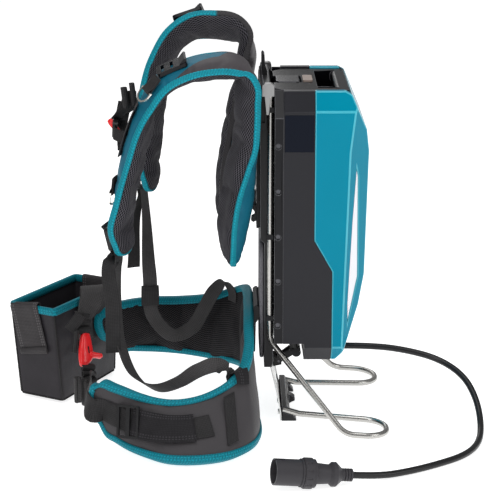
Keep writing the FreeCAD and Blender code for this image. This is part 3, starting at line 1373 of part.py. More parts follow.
def ring_roll():
    # the tight fold of webbing that holds the bar of a ring, with its tail sewn on the strap
    radius = RING_WIRE_RADIUS + RUN_GAP
    outer = RING_WIRE_RADIUS + WEB_THICKNESS
    half = RING_HALF_WIDTH - RING_WIRE_RADIUS - 2.0
    roll = rod((-half, 0, 0), (half, 0, 0), outer)
    tail = box(-half, half, 0, RING_TAIL, -outer, -outer + WEB_THICKNESS)
    bore = rod((-half - 1, 0, 0), (half + 1, 0, 0), radius)
    return roll.fuse(tail).cut(bore)


def ring_lift():
    return STRAP_THICKNESS / 2 + SEAT_GAP + RING_WIRE_RADIUS + WEB_THICKNESS


def lifter_buckle():
    # a ladder buckle with a raised grip at its rear end
    half = LIFTER_HALF_WIDTH
    length = LIFTER_HALF_LENGTH
    high = LIFTER_THICKNESS
    slot = WEB_WIDTH / 2 + 1
    body = box(-half, half, -length, length, 0, high)
    body = body.makeFillet(FITTING_CORNER, upright_edges(body))
    for y in LIFTER_SLOTS:
        body = body.cut(box(-slot, slot, y, y + LIFTER_SLOT_LENGTH, -1, high + 1))
    grip = prism_x(LIFTER_GRIP, -half + 2, half - 2)
    body = body.fuse(grip)
    for index in range(LIFTER_GROOVES):
        y = LIFTER_GROOVE_START + index * LIFTER_GROOVE_PITCH
        body = body.cut(box(-slot, slot, y, y + LIFTER_GROOVE_WIDTH, high - LIFTER_GROOVE_DEPTH, high + 1))
    return body.removeSplitter()


def ladder_lock():
    # a flat slider with three cross bars, one of them thick and ribbed
    half = LOCK_HALF_WIDTH
    slot = WEB_WIDTH / 2 + 1
    body = box(-half, half, -LOCK_HALF_LENGTH, LOCK_HALF_LENGTH, 0, LOCK_THICKNESS)
    body = body.makeFillet(FITTING_CORNER, upright_edges(body))
    for y in LOCK_SLOTS:
        body = body.cut(box(-slot, slot, y, y + LOCK_SLOT_LENGTH, -1, LOCK_THICKNESS + 1))
    lip = prism_x(LOCK_LIP, -half + 3, half - 3)
    return body.fuse(lip).removeSplitter()


def tri_glide(half, length):
    # a flat frame with two windows
    bar = GLIDE_BAR
    body = box(-half, half, -length, length, 0, bar)
    body = body.makeFillet(bar, upright_edges(body))
    window = length - bar - GLIDE_MIDDLE_BAR / 2
    for y in (-length + bar, GLIDE_MIDDLE_BAR / 2):
        body = body.cut(box(-half + bar, half - bar, y, y + window, -1, bar + 1))
    return body


LEFT_FRAMES = strap_frames(LEFT_STRAP, 2)
RIGHT_FRAMES = strap_frames(RIGHT_STRAP, 2)
BELT_ROWS = BELT_RIGHT + BELT_BACK[1:] + BELT_LEFT[1:]
BELT_FRAMES = belt_frames(BELT_ROWS, BELT_STEPS)


def belt_index(row):
    return round(row * BELT_STEPS)


def belt_seat(index, share, lift):
    # a place on the hip belt: share 0 is the top edge, positive lift is outwards
    top, bottom, along = BELT_FRAMES[index]
    down = (bottom - top).normalize()
    normal = along.cross(down).normalize()
    return top + (bottom - top) * share + normal * lift, down, along, normal


def belt_side_rings(first, last, share, width, lift):
    rings = []
    for index in range(first, last + 1):
        here, down, along, normal = belt_seat(index, share, lift)
        rings.append(web_ring(here, down, normal, width))
    return rings


def strap_strips():
    # sewn webbing on the outer faces of both shoulder straps, with the rolls that hold the rings
    lift = outer_lift(STRAP_THICKNESS)
    pieces = []
    for frames, across in ((LEFT_FRAMES, 4.0), (RIGHT_FRAMES, -4.0)):
        pieces.append(along_strap(frames[slice(*UPPER_STRIP)], lift, WEB_WIDTH, across))
        pieces.append(along_strap(frames[slice(*LOWER_STRIP)], lift, WEB_WIDTH))
    for seat in ring_seats().values():
        pieces.append(placed(ring_roll(), seat))
    return group(pieces)


def ring_seats():
    # the bar of each ring: its middle, the bar's direction and the way from the bow to the bar
    lift = ring_lift()
    seats = {}
    for name, frames, index, across in (
            ("upper_ring_left", LEFT_FRAMES, UPPER_RING_FRAME, 21.0),
            ("lower_ring_left", LEFT_FRAMES, LOWER_RING_FRAME, 10.0),
            ("upper_ring_right", RIGHT_FRAMES, UPPER_RING_FRAME, -8.0),
            ("lower_ring_right", RIGHT_FRAMES, LOWER_RING_FRAME, -8.0)):
        origin, wide, along = strap_seat(frames, index, lift, across)
        if name == "upper_ring_left":
            turn = math.radians(UPPER_RING_TURN)
            middle, across_it, normal, width = frames[index]
            wide = across_it * math.cos(turn) - normal * math.sin(turn)
            upright = normal * math.cos(turn) + across_it * math.sin(turn)
            origin = middle + across_it * across + upright * (lift + UPPER_RING_STANDS)
        seats[name] = (origin, wide, along * -1)
    return seats


def strap_ring(name):
    return placed(d_ring(), ring_seats()[name])


def on_strap(shape, frames, index, lift, across=0.0):
    # the fitting's own +y points back up the strap
    origin, wide, along = strap_seat(frames, index, lift, across)
    return placed(shape, (origin, wide, along * -1))


def lifter_buckles():
    lift = STRAP_THICKNESS / 2 + SEAT_GAP
    return group([on_strap(lifter_buckle(), LEFT_FRAMES, LEFT_LIFTER_FRAME, lift),
                  on_strap(lifter_buckle(), RIGHT_FRAMES, RIGHT_LIFTER_FRAME, lift, 12.0)])


def chest_place():
    along = V(*CHEST_LINE).normalize()
    up = V(0, 0.05, 1)
    return (V(*CHEST_MIDDLE), up - along * up.dot(along), along)


def chest_webbing():
    # two tails that hang on the sewn strips and meet in the buckle
    along = V(*CHEST_LINE).normalize()
    middle = V(*CHEST_MIDDLE)
    left_end = middle - along * (CHEST_BUCKLE_HALF + SEAT_GAP)
    right_end = middle + along * (CHEST_BUCKLE_HALF + SEAT_GAP)
    lift = outer_lift(STRAP_THICKNESS, WEB_THICKNESS + CHEST_WEB_STANDS)
    left_seat, left_wide, left_along = strap_seat(LEFT_FRAMES, CHEST_FRAME, lift, 2.0)
    right_seat, right_wide, right_along = strap_seat(RIGHT_FRAMES, CHEST_FRAME, lift, -2.0)
    up = (0.0, 0.05, 1.0)
    left_up = tuple(left_along * -1)
    right_up = tuple(right_along * -1)
    width = CHEST_WIDTH
    left = [tuple(left_seat + left_wide * 10) + left_up + (width,),
            tuple(left_seat - left_wide * 12) + left_up + (width,),
            tuple(left_end - along * 12) + up + (width,), tuple(left_end) + up + (width,)]
    right = [tuple(right_end) + up + (width,), tuple(right_end + along * 12) + up + (width,),
             tuple(right_seat + right_wide * 12) + right_up + (width,),
             tuple(right_seat - right_wide * 10) + right_up + (width,)]
    return group([webbing(left, parts=2), webbing(right, parts=2)])


def chest_buckle():
    half = CHEST_BUCKLE_HALF
    thick = CHEST_BUCKLE_THICKNESS / 2
    slot = CHEST_WIDTH / 2 + 0.5
    body = box(-CHEST_BUCKLE_SIDE, CHEST_BUCKLE_SIDE, -half, half, -thick, thick)
    body = body.makeFillet(FITTING_CORNER, upright_edges(body))
    wide = CHEST_POCKET_HALF_WIDTH
    pocket = box(-wide, wide, CHEST_POCKET_START, CHEST_POCKET_END, CHEST_POCKET_FLOOR, thick + 1)
    pin = rod((-wide, *CHEST_PIN), (wide, *CHEST_PIN), CHEST_PIN_RADIUS)
    for y in (-half + BUCKLE_SLOT, half - 2 * BUCKLE_SLOT):
        body = body.cut(box(-slot, slot, y, y + BUCKLE_SLOT, -thick - 1, thick + 1))
    return placed(body.cut(pocket).fuse(pin).removeSplitter(), chest_place())


def chest_release():
    # the red tab that is lifted to open the chest buckle
    tab = prism_x([(-11.2, 2.6), (-9, 0.9), (-3, 0.9), (11, 1.6), (15, 7), (12, 8.4), (8, 5.4), (-9, 4.8)], -9, 9)
    hole = rod((-10, *CHEST_PIN), (10, *CHEST_PIN), CHEST_PIN_RADIUS + RUN_GAP)
    return placed(tab.cut(hole), chest_place())


def waist_place():
    normal = V(*WAIST_NORMAL)
    along = V(*WAIST_LINE).normalize()
    return (V(*WAIST_MIDDLE), along.cross(normal), along)


def waist_buckle():
    # the long frame of the waist fastener, with a slot at each end
    half = WAIST_BUCKLE_HALF
    wide = WAIST_POCKET_HALF_WIDTH
    body = box(-WAIST_BUCKLE_SIDE, WAIST_BUCKLE_SIDE, -half, half, WAIST_BUCKLE_BACK, WAIST_BUCKLE_FACE)
    body = body.makeFillet(WAIST_BUCKLE_CORNER, upright_edges(body))
    body = body.cut(box(-wide, wide, WAIST_POCKET_START, WAIST_POCKET_END, WAIST_POCKET_FLOOR, WAIST_BUCKLE_FACE + 1.5))
    body = body.fuse(rod((-wide, *WAIST_PIN), (wide, *WAIST_PIN), WAIST_PIN_RADIUS))
    for y in (-half + BUCKLE_SLOT, half - 2 * WAIST_SLOT):
        body = body.cut(box(-wide - 1, wide + 1, y, y + WAIST_SLOT, WAIST_BUCKLE_BACK - 1.5, WAIST_BUCKLE_FACE + 1.5))
    return placed(body.removeSplitter(), waist_place())


def waist_release():
    # the lever of the waist fastener: a broad tongue on a cross pin, with a thumb tab
    wide = WAIST_POCKET_HALF_WIDTH - 0.5
    lever = prism_x(WAIST_LEVER_SIDE, -wide, wide)
    window = prism_x(WAIST_LEVER_WINDOW, -WAIST_WINDOW_HALF_WIDTH, WAIST_WINDOW_HALF_WIDTH)
    hole = rod((-wide - 1, *WAIST_PIN), (wide + 1, *WAIST_PIN), WAIST_PIN_RADIUS + RUN_GAP)
    return placed(lever.cut(window).cut(hole), waist_place())


def waist_point(x, y, z):
    origin, wide, along = waist_place()
    wide = V(wide).normalize()
    along = (along - wide * along.dot(wide)).normalize()
    return origin + wide * x + along * y + wide.cross(along) * z


def seat_rows(index, shares, lift, width):
    # the last stations of webbing that is sewn on the inner face of the hip belt
    rows = []
    for share in shares:
        here, down, along, normal = belt_seat(index, share, lift)
        rows.append(tuple(here) + tuple(along) + (width,))
    return rows


def lock_rows(frames, extra):
    # the two stations where webbing leaves the lower end of a ladder lock
    lift = STRAP_THICKNESS / 2 + WEB_THICKNESS + 2 * SEAT_GAP + extra
    origin, wide, along = strap_seat(frames, LOCK_FRAME, lift)
    rows = []
    for reach in (LOCK_HALF_LENGTH + 2 * SEAT_GAP, LOCK_HALF_LENGTH + 12.0):
        rows.append(tuple(origin + along * reach) + tuple(wide) + (WEB_WIDTH,))
    return rows


def strap_webbing_left():
    # the load strand down to the hip belt and the free end that hangs beside it
    sewn = -outer_lift(BELT_THICKNESS, 5 * BELT_CURVE_ROOM)
    load = lock_rows(LEFT_FRAMES, 2.5) + LEFT_LOAD + seat_rows(belt_index(LEFT_SEAM), (0.04, 0.14), sewn, WEB_WIDTH)
    tail = lock_rows(LEFT_FRAMES, 8.6) + LEFT_TAIL
    return group([webbing(load, parts=3), webbing(tail, parts=3)])


def strap_webbing_right():
    sewn = -outer_lift(BELT_THICKNESS, 2 * BELT_CURVE_ROOM)
    load = lock_rows(RIGHT_FRAMES, 2.5) + RIGHT_LOAD + seat_rows(belt_index(RIGHT_SEAM), (0.04, 0.16), sewn, WEB_WIDTH)
    tail = lock_rows(RIGHT_FRAMES, 8.6) + RIGHT_TAIL
    return group([webbing(load, parts=3), webbing(tail, parts=3), webbing_keeper()])


def webbing_keeper():
    # a small sewn box that holds the far webbing together
    deep = KEEPER_HALF_DEPTH
    wide = KEEPER_HALF_WIDTH
    high = KEEPER_HALF_HEIGHT
    outer = box(-deep, deep, -wide, wide, -high, high)
    inner = box(-deep + KEEPER_WALL, deep - KEEPER_WALL, -wide + 2, wide - 2, -high - 1, high + 1)
    shape = outer.cut(inner)
    shape.Placement = FreeCAD.Placement(V(*KEEPER_PLACE), FreeCAD.Rotation(V(0, 0, 1), KEEPER_TURN))
    return shape


def belt_webbing_left():
    # sewn along the left wing, then free to the waist buckle, with its spare length rolled up
    lift = outer_lift(BELT_THICKNESS, BELT_CURVE_ROOM)
    front = belt_index(WAIST_WEB_FRONT)
    sewn = belt_side_rings(belt_index(WAIST_WEB_REAR), front, 0.5, WAIST_WEB_WIDTH, lift)
    here, down, along, normal = belt_seat(front, 0.5, lift)
    origin, wide, line = waist_place()
    free = [tuple(here) + tuple(down) + (WAIST_WEB_WIDTH,), tuple(here + along * 12) + tuple(down) + (WAIST_WEB_WIDTH,)]
    free += LEFT_WAIST_LINE
    for reach in (BUCKLE_LEAD, SEAT_GAP):
        free.append(tuple(waist_point(0, -WAIST_BUCKLE_HALF - reach, 0)) + tuple(wide * -1) + (WEB_WIDTH,))
    steps = 3
    strap = lofted(sewn + web_rings(free, steps)[steps:])
    loop = belt_side_strip_down(belt_index(BELT_LOOP_ROW), 0.16, 0.84, BELT_LOOP_WIDTH, lift)
    pieces = [strap, loop]
    for x, y, z in LEFT_ROLLS:
        roll = rod((x, y, z - ROLL_HALF), (x, y, z + ROLL_HALF), ROLL_RADIUS)
        core = rod((x, y, z - ROLL_HALF - 1), (x, y, z + ROLL_HALF + 1), ROLL_RADIUS - WEB_THICKNESS - 1)
        pieces.append(roll.cut(core))
    return group(pieces)


def belt_side_strip_down(index, share0, share1, width, lift):
    rows = []
    for step in range(4):
        share = share0 + (share1 - share0) * step / 3
        here, down, along, normal = belt_seat(index, share, lift)
        rows.append((here, along, normal, width))
    return along_strap(rows, 0.0, width)


def belt_webbing_right():
    # the wide band over to the far wing and the strap that the pouch hangs on
    lift = outer_lift(BELT_THICKNESS)
    hanger = []
    for index in range(belt_index(2.7), belt_index(1.3) - 1, -1):
        here, down, along, normal = belt_seat(index, 0.5, lift + BELT_CURVE_ROOM)
        hanger.append(tuple(here) + tuple(down) + (WAIST_WEB_WIDTH,))
    seat = -(WEB_THICKNESS / 2 + SEAT_GAP)
    for u, v in POUCH_HANGER_LINE:
        here = pouch_corner(u, v + seat, POUCH_HANGER_Z)
        hanger.append(tuple(here) + (0.0, 0.0, -1.0) + (WAIST_WEB_WIDTH,))
    origin, wide, line = waist_place()
    band = []
    for reach in (SEAT_GAP, BUCKLE_LEAD):
        band.append(tuple(waist_point(0, WAIST_BUCKLE_HALF + reach, 0)) + tuple(wide * -1) + (WEB_WIDTH,))
    band += RIGHT_BAND_LINE
    for z in (150.0, 120.0, 96.0):
        here = pouch_corner(RIGHT_BAND_U, seat - WEB_THICKNESS - SEAT_GAP - (4.0 if z > 140 else 0.0), z)
        band.append(tuple(here) + (0.864, -0.503, 0.0) + (RIGHT_BAND_WIDTH,))
    return group([webbing(hanger, parts=2), webbing(band, parts=3)])


def webbing_sliders():
    # ladder locks of the shoulder straps, the glide on the left wing and the one in the left webbing
    lift = STRAP_THICKNESS / 2 + SEAT_GAP + WEB_THICKNESS + SEAT_GAP
    pieces = [on_strap(ladder_lock(), frames, LOCK_FRAME, lift) for frames in (LEFT_FRAMES, RIGHT_FRAMES)]
    lift = BELT_THICKNESS / 2 + WEB_THICKNESS + 3 * SEAT_GAP + GLIDE_STANDS
    here, down, along, normal = belt_seat(belt_index(GLIDE_ROW), 0.5, lift)
    pieces.append(placed(tri_glide(GLIDE_HALF_WIDTH, GLIDE_HALF_LENGTH), (here, down * -1, along)))
    return group(pieces)


# Cord and plug

def plug_tilt():
    # the plug lies on its bulge and its collar, so their radii set its tilt
    return math.atan2(PLUG_COLLAR_RADIUS - PLUG_BULGE_RADIUS, PLUG_COLLAR_START - PLUG_BULGE_AT)


def plug_direction():
    flat = V(*PLUG_HEADING).normalize()
    tilt = plug_tilt()
    return flat * math.cos(tilt) + V(0, 0, 1) * math.sin(tilt)


def plug_start():
    tilt = plug_tilt()
    z = FLOOR_GAP + PLUG_BULGE_RADIUS * math.cos(tilt) - PLUG_BULGE_AT * math.sin(tilt)
    return V(PLUG_BOOT_X, PLUG_BOOT_Y, z)


def plug_placed(shape):
    # the shape is made along +y from the cord's end
    along = plug_direction()
    wide = along.cross(V(0, 0, 1)).normalize()
    moved = shape.copy()
    moved.Placement = placement_of(plug_start(), wide, along, wide.cross(along))
    return moved


def plug_body():
    boot = PLUG_BOOT_RADIUS
    profile = [(0, 0), (0, boot)]
    for index in range(3):
        y = 3.0 + index * 4.4
        profile += [(y, boot), (y + 0.9, boot - 1.5), (y + 1.8, boot)]
    barrel = PLUG_BARREL_RADIUS
    shoulder = PLUG_COLLAR_RADIUS - 2.0
    stop = PLUG_COLLAR_START + PLUG_COLLAR_LENGTH + 2 * SEAT_GAP
    profile += [(PLUG_BULGE_AT - 13, boot), (PLUG_BULGE_AT - 3, PLUG_BULGE_RADIUS), (PLUG_BULGE_AT + 3, PLUG_BULGE_RADIUS),
                (PLUG_BULGE_AT + 8, PLUG_WAIST_RADIUS), (PLUG_COLLAR_START - 7, PLUG_WAIST_RADIUS + 1.7),
                (PLUG_COLLAR_START - 5, shoulder), (PLUG_COLLAR_START - SEAT_GAP, shoulder),
                (PLUG_COLLAR_START - SEAT_GAP, barrel), (stop, barrel), (stop, shoulder),
                (stop + 3, shoulder), (stop + 3, barrel), (PLUG_LENGTH, barrel),
                (PLUG_LENGTH, barrel - PLUG_BARREL_WALL), (PLUG_FLOOR_AT, barrel - PLUG_BARREL_WALL), (PLUG_FLOOR_AT, 0)]
    body = turned_about_y(profile, 0, 0)
    key = box(-2.5, 2.5, PLUG_LENGTH - 16, PLUG_LENGTH + 1, barrel - PLUG_BARREL_WALL - 1, barrel + 1)
    for x, z in contact_places():
        body = body.cut(rod((x, PLUG_FLOOR_AT - 8, z), (x, PLUG_FLOOR_AT + 1, z), CONTACT_RADIUS))
    return plug_placed(body.cut(key).removeSplitter())


def plug_collar():
    # the twist lock ring, with finger notches round it
    start = PLUG_COLLAR_START
    end = start + PLUG_COLLAR_LENGTH
    bore = PLUG_BARREL_RADIUS + RUN_GAP
    ring = turned_about_y([(start, bore), (start, PLUG_COLLAR_RADIUS), (end - 2, PLUG_COLLAR_RADIUS),
                           (end, PLUG_COLLAR_RADIUS - 1.5), (end, bore)], 0, 0)
    for index in range(COLLAR_NOTCHES):
        angle = math.radians(360.0 * index / COLLAR_NOTCHES)
        reach = PLUG_COLLAR_RADIUS + 1.6
        x = reach * math.cos(angle)
        z = reach * math.sin(angle)
        ring = ring.cut(rod((x, start + 3, z), (x, end + 1, z), 2.6))
    return plug_placed(ring)


def contact_places():
    return [(CONTACT_CIRCLE * math.cos(math.radians(a)), CONTACT_CIRCLE * math.sin(math.radians(a)))
            for a in (30, 90, 150, 270)]


def plug_contacts():
    pins = []
    for x, z in contact_places():
        pins.append(plug_placed(rod((x, PLUG_FLOOR_AT - 8, z), (x, PLUG_FLOOR_AT + CONTACT_REACH, z), CONTACT_RADIUS)))
    return group(pins)


def cord_gland():
    # the elbow under the case that the cord comes out of
    y0 = RELIEF_START_Y - 26
    y1 = RELIEF_START_Y
    top = CASE_BOTTOM_Z - SEAT_GAP
    low = CORD_EXIT_Z - 9
    body = prism_x([(y0 + 6, low), (y1, low), (y1, top), (y0, top), (y0, low + 7)], -11, 11)
    neck_y = RELIEF_START_Y - 14
    neck = rod((0, neck_y, top - 1), (0, neck_y, CASE_BOTTOM_Z + SHELL_WALL + 4), 6.7)
    nut = rod((0, neck_y, CASE_BOTTOM_Z + SHELL_WALL + SEAT_GAP), (0, neck_y, CASE_BOTTOM_Z + SHELL_WALL + 4), 9.5)
    return body.fuse([neck, nut]).removeSplitter()


def strain_relief():
    # a ribbed rubber cone between the gland and the free cord
    count = 3
    pitch = (RELIEF_END_Y - RELIEF_START_Y) / count
    profile = [(RELIEF_START_Y, 0)]
    for index in range(count):
        y = RELIEF_START_Y + index * pitch
        r = RELIEF_ROOT_RADIUS - (RELIEF_ROOT_RADIUS - CORD_RADIUS - 0.6) * index / count
        profile += [(y, r), (y + pitch * 0.62, r - 0.3), (y + pitch * 0.62, r - 1.0), (y + pitch, r - 1.0)]
    profile.append((RELIEF_END_Y, 0))
    return turned_about_y(profile, 0, CORD_EXIT_Z)


def cord_points():
    start = plug_start()
    lead = start - plug_direction() * CORD_PLUG_RUN
    return [(0, RELIEF_END_Y, CORD_EXIT_Z)] + CORD_ROUTE + [tuple(lead), tuple(start)]


def cord_radii(points):
    # each arc is as large as its two runs allow
    radii = []
    for a, b, c in zip(points, points[1:], points[2:]):
        before = V(*b) - V(*a)
        after = V(*c) - V(*b)
        turn = before.getAngle(after)
        radii.append(0.45 * min(before.Length, after.Length) / math.tan(turn / 2))
    return radii


def power_cord():
    points = cord_points()
    radii = cord_radii(points)
    wire = rounded_wire(points, radii)
    cord = tube(wire, CORD_RADIUS, CORD_SIDES)
    section = CORD_SIDES / 2 * math.sin(2 * math.pi / CORD_SIDES) * CORD_RADIUS ** 2
    print("cord radii", [round(r) for r in radii])
    print("cord length", round(wire.Length, 1), "volume ratio", round(cord.Volume / (section * wire.Length), 4))
    return cord


def frame_bolts():
    # the posts and screws of the strut plate, and the screws of the base block
    bolts = strut_bosses()
    y = BLOCK_FRONT_Y - STRUT_THICKNESS
    for x in (-55.0, 0.0, 55.0):
        bolts.append(rod((x, y - 3, 8), (x, y, 8), 4.5))
    return group(bolts)


def main():
    os.makedirs("parts", exist_ok=True)
    right_wing, lumbar, left_wing = belt_pieces()
    wire = foot_wire()
    nodes = {
        "case_cover": case_cover(),
        "inner_shell": inner_shell(),
        "outer_shell": outer_shell(),
        "side_windows": side_windows(),
        "reflector_strips": reflector_strips(),
        "handle_deck": handle_deck(),
        "port_lid": port_lid(),
        "lid_pin": lid_pin(),
        "power_button": power_button(),
        "cell_blocks": cell_blocks(),
        "cell_holders": cell_holders(),
        "bus_bars": bus_bars(),
        "circuit_board": circuit_board(),
        "case_screws": case_screws(),
        "back_plate": back_plate(),
        "plate_pad": plate_pad(),
        "harness_plate": harness_plate(),
        "hanger_tab": hanger_tab(),
        "top_brackets": both_sides(top_bracket()),
        "strap_loops": strap_loops(),
        "rod_clips": rod_clips(),
        "foot_wire_left": wire,
        "foot_wire_right": mirrored(wire),
        "strut_plate": strut_plate(),
        "base_block": base_block(),
        "latch_bracket": latch_bracket(),
        "latch_pin": latch_pin(),
        "latch_lever": latch_lever(),
        "belt_bracket": belt_bracket(),
        "frame_bolts": frame_bolts(),
        "shoulder_pad_left": shoulder_pad(LEFT_STRAP),
        "shoulder_pad_right": shoulder_pad(RIGHT_STRAP),
        "strap_strips": strap_strips(),
        "lifter_buckles": lifter_buckles(),
        "chest_webbing": chest_webbing(),
        "chest_buckle": chest_buckle(),
        "chest_release": chest_release(),
        "webbing_sliders": webbing_sliders(),
        "strap_webbing_left": strap_webbing_left(),
        "strap_webbing_right": strap_webbing_right(),
        "hip_wing_right": right_wing,
        "lumbar_pad": lumbar,
        "hip_wing_left": left_wing,
        "belt_webbing_left": belt_webbing_left(),
        "belt_webbing_right": belt_webbing_right(),
        "waist_buckle": waist_buckle(),
        "waist_release": waist_release(),
        "pouch": pouch(),
        "pouch_binding": pouch_binding(),
        "pouch_bands": pouch_bands(),
        "cord_gland": cord_gland(),
        "strain_relief": strain_relief(),
        "power_cord": power_cord(),
        "plug_body": plug_body(),
        "plug_collar": plug_collar(),
        "plug_contacts": plug_contacts(),
    }
    for name in ring_seats():
        nodes[name] = strap_ring(name)
    for name, shape in nodes.items():
        if not shape.isValid():
            print("not valid", name)
        shape.exportStep("parts/" + name + ".step")
    print(len(nodes), "nodes")


main()
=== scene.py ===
# %% [markdown]
# A battery pack that is worn on the back: a faceted case on a back plate with wire feet, a padded harness
# with a hip belt and a pouch, and a supply cord that ends in a round plug. The solids come from the packed
# model. This script gives every one of them its real surface, and it makes the soft goods and the cord anew.

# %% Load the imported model
import json
import math

import bmesh
import bpy
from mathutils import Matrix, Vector
from mathutils.noise import noise as noise_at

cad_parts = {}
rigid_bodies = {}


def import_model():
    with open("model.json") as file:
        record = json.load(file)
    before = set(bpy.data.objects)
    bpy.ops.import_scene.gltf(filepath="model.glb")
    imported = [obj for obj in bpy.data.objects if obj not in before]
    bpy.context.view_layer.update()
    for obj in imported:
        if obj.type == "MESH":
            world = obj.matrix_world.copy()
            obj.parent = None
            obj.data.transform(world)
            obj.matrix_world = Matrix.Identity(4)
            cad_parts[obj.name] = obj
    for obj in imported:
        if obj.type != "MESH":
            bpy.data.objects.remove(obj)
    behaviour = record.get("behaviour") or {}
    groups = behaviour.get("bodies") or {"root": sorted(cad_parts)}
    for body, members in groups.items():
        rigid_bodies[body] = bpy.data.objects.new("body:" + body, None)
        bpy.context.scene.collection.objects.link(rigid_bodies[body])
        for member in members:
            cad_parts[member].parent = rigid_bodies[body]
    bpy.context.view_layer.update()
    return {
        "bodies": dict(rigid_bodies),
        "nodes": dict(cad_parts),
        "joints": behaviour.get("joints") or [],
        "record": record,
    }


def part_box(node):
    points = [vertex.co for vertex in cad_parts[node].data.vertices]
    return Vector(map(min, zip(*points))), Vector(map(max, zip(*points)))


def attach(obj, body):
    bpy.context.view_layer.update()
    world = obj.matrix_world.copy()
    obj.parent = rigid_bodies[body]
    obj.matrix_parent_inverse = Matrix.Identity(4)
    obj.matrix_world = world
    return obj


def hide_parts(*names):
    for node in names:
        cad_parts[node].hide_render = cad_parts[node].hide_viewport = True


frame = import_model()
nodes = frame["nodes"]
scene = bpy.context.scene
PACK = "pack"
MM = 0.001

# %% [markdown]
# The camera stands on the wearer's left, a little above the pack, and looks down on it by about fifteen
# degrees. Its place came from matching known corners of the case. It is set first, because the rest of the
# work is judged through it.

# %% Camera
camera_data = bpy.data.cameras.new("camera")
camera = bpy.data.objects.new("camera", camera_data)
scene.collection.objects.link(camera)
scene.camera = camera
CAMERA_PLACE = Vector((3.2, -0.106, 1.169))
CAMERA_YAW = 0.011
CAMERA_PITCH = 0.271
SENSOR_HEIGHT = 24.0
FOCUS_PIXELS = 1949
PHOTO_HEIGHT_PIXELS = 500
camera.location = CAMERA_PLACE
camera.rotation_euler = (math.pi / 2 - CAMERA_PITCH, 0, math.pi / 2 - CAMERA_YAW)
camera_data.sensor_fit = "VERTICAL"
camera_data.sensor_height = SENSOR_HEIGHT
camera_data.lens = SENSOR_HEIGHT * FOCUS_PIXELS / PHOTO_HEIGHT_PIXELS
print("lens", round(camera_data.lens, 1))

# %% [markdown]
# Product photographs of dark goods are lit by large soft panels, which draw long pale streaks on gloss
# plastic and steel. Area lights do the same here: a broad one above, one on each side, one behind, and a
# narrow strip that picks out the rear edges. A pale world fills the shadows, and the floor is nearly white.

# %% Floor and light
MIDDLE = Vector((0.0, -0.1, 0.3))


def area_light(name, place, size, power):
    data = bpy.data.lights.new(name, "AREA")
    data.shape = "RECTANGLE"
    data.size, data.size_y = size
    data.energy = power
    lamp = bpy.data.objects.new(name, data)
    lamp.location = place
    lamp.rotation_euler = (MIDDLE - Vector(place)).to_track_quat("-Z", "Y").to_euler()
    scene.collection.objects.link(lamp)


area_light("top_panel", (0.6, -0.2, 2.4), (1.6, 2.2), 26)
area_light("side_panel", (2.3, -1.5, 1.5), (0.8, 1.8), 13)
area_light("rear_panel", (1.3, 2.0, 1.5), (0.8, 2.0), 14)
area_light("far_panel", (-2.2, -0.4, 1.8), (1.0, 1.8), 9)
area_light("edge_strip", (2.6, 1.9, 0.9), (0.2, 1.8), 5)

world = bpy.data.worlds.new("studio")
world.use_nodes = True
world.node_tree.nodes["Background"].inputs["Color"].default_value = (1.0, 1.0, 1.0, 1.0)
world.node_tree.nodes["Background"].inputs["Strength"].default_value = 0.28
scene.world = world
scene.view_settings.view_transform = "Standard"

floor_mesh = bpy.data.meshes.new("floor")
floor_shape = bmesh.new()
bmesh.ops.create_grid(floor_shape, x_segments=1, y_segments=1, size=8.0)
floor_shape.to_mesh(floor_mesh)
floor_shape.free()
floor = bpy.data.objects.new("floor", floor_mesh)
scene.collection.objects.link(floor)

# %% [markdown]
# Surfaces are written as sums on sockets. This class wraps one socket of a material, so that an expression
# such as 1 - mask * 0.5 adds the Math nodes by itself, and its node method adds any other node. That keeps
# each finish as short as the idea behind it.

# %% Shader sums
class Wire:
    def __init__(self, tree, socket=None):
        self.tree = tree
        self.socket = socket

    def node(self, kind, settings=None, inputs=None, out=0):
        made = self.tree.nodes.new(kind)
        for key, value in (settings or {}).items():
            if key == "stops":
                ramp = made.color_ramp
                while len(ramp.elements) < len(value):
                    ramp.elements.new(1.0)
                for element, (place, colour) in zip(ramp.elements, value):
                    element.position = place
                    element.color = colour
            else:
                setattr(made, key, value)
        for key, value in (inputs or {}).items():
            if isinstance(value, Wire):
                self.tree.links.new(value.socket, made.inputs[key])
            else:
                made.inputs[key].default_value = value
        return Wire(self.tree, made.outputs[out])

    def math(self, operation, *others):
        values = {index: value for index, value in enumerate((self,) + others)}
        return self.node("ShaderNodeMath", {"operation": operation}, values)

    def __add__(self, other):
        return self.math("ADD", other)

    def __sub__(self, other):
        return self.math("SUBTRACT", other)

    def __rsub__(self, other):
        return self.math("MULTIPLY", -1.0).math("ADD", other)

    def __mul__(self, other):
        return self.math("MULTIPLY", other)

    __radd__ = __add__
    __rmul__ = __mul__

    def between(self, low, high):
        """0 below low, 1 above high, smooth between them."""
        return self.node("ShaderNodeMapRange", {"interpolation_type": "SMOOTHSTEP"},
                         {"Value": self, "From Min": low, "From Max": high})

    def near(self, place, full, none):
        """1 within full of a place, 0 farther than none from it."""
        return 1 - (self - place).math("ABSOLUTE").between(full, none)

    def mixed(self, first, second):
        """The first colour where this value is 0, the second where it is 1."""
        return self.node("ShaderNodeMix", {"data_type": "RGBA"}, {0: self, 6: first, 7: second}, out=2)


def shade(colour, factor):
    return tuple(min(1.0, c * factor) for c in colour[:3]) + (1.0,)


def new_finish(name, colour, rough, **fixed):
    """A material with its shader; fixed holds the sockets that are the same all over."""
    made = bpy.data.materials.new(name)
    made.use_nodes = True
    tree = made.node_tree
    shader = tree.nodes["Principled BSDF"]
    shader.inputs["Base Color"].default_value = shade(colour, 1)
    shader.inputs["Roughness"].default_value = rough
    for key, value in fixed.items():
        shader.inputs[key.replace("_", " ")].default_value = value
    return made, Wire(tree), shader


def join(wire, socket):
    wire.tree.links.new(wire.socket, socket)


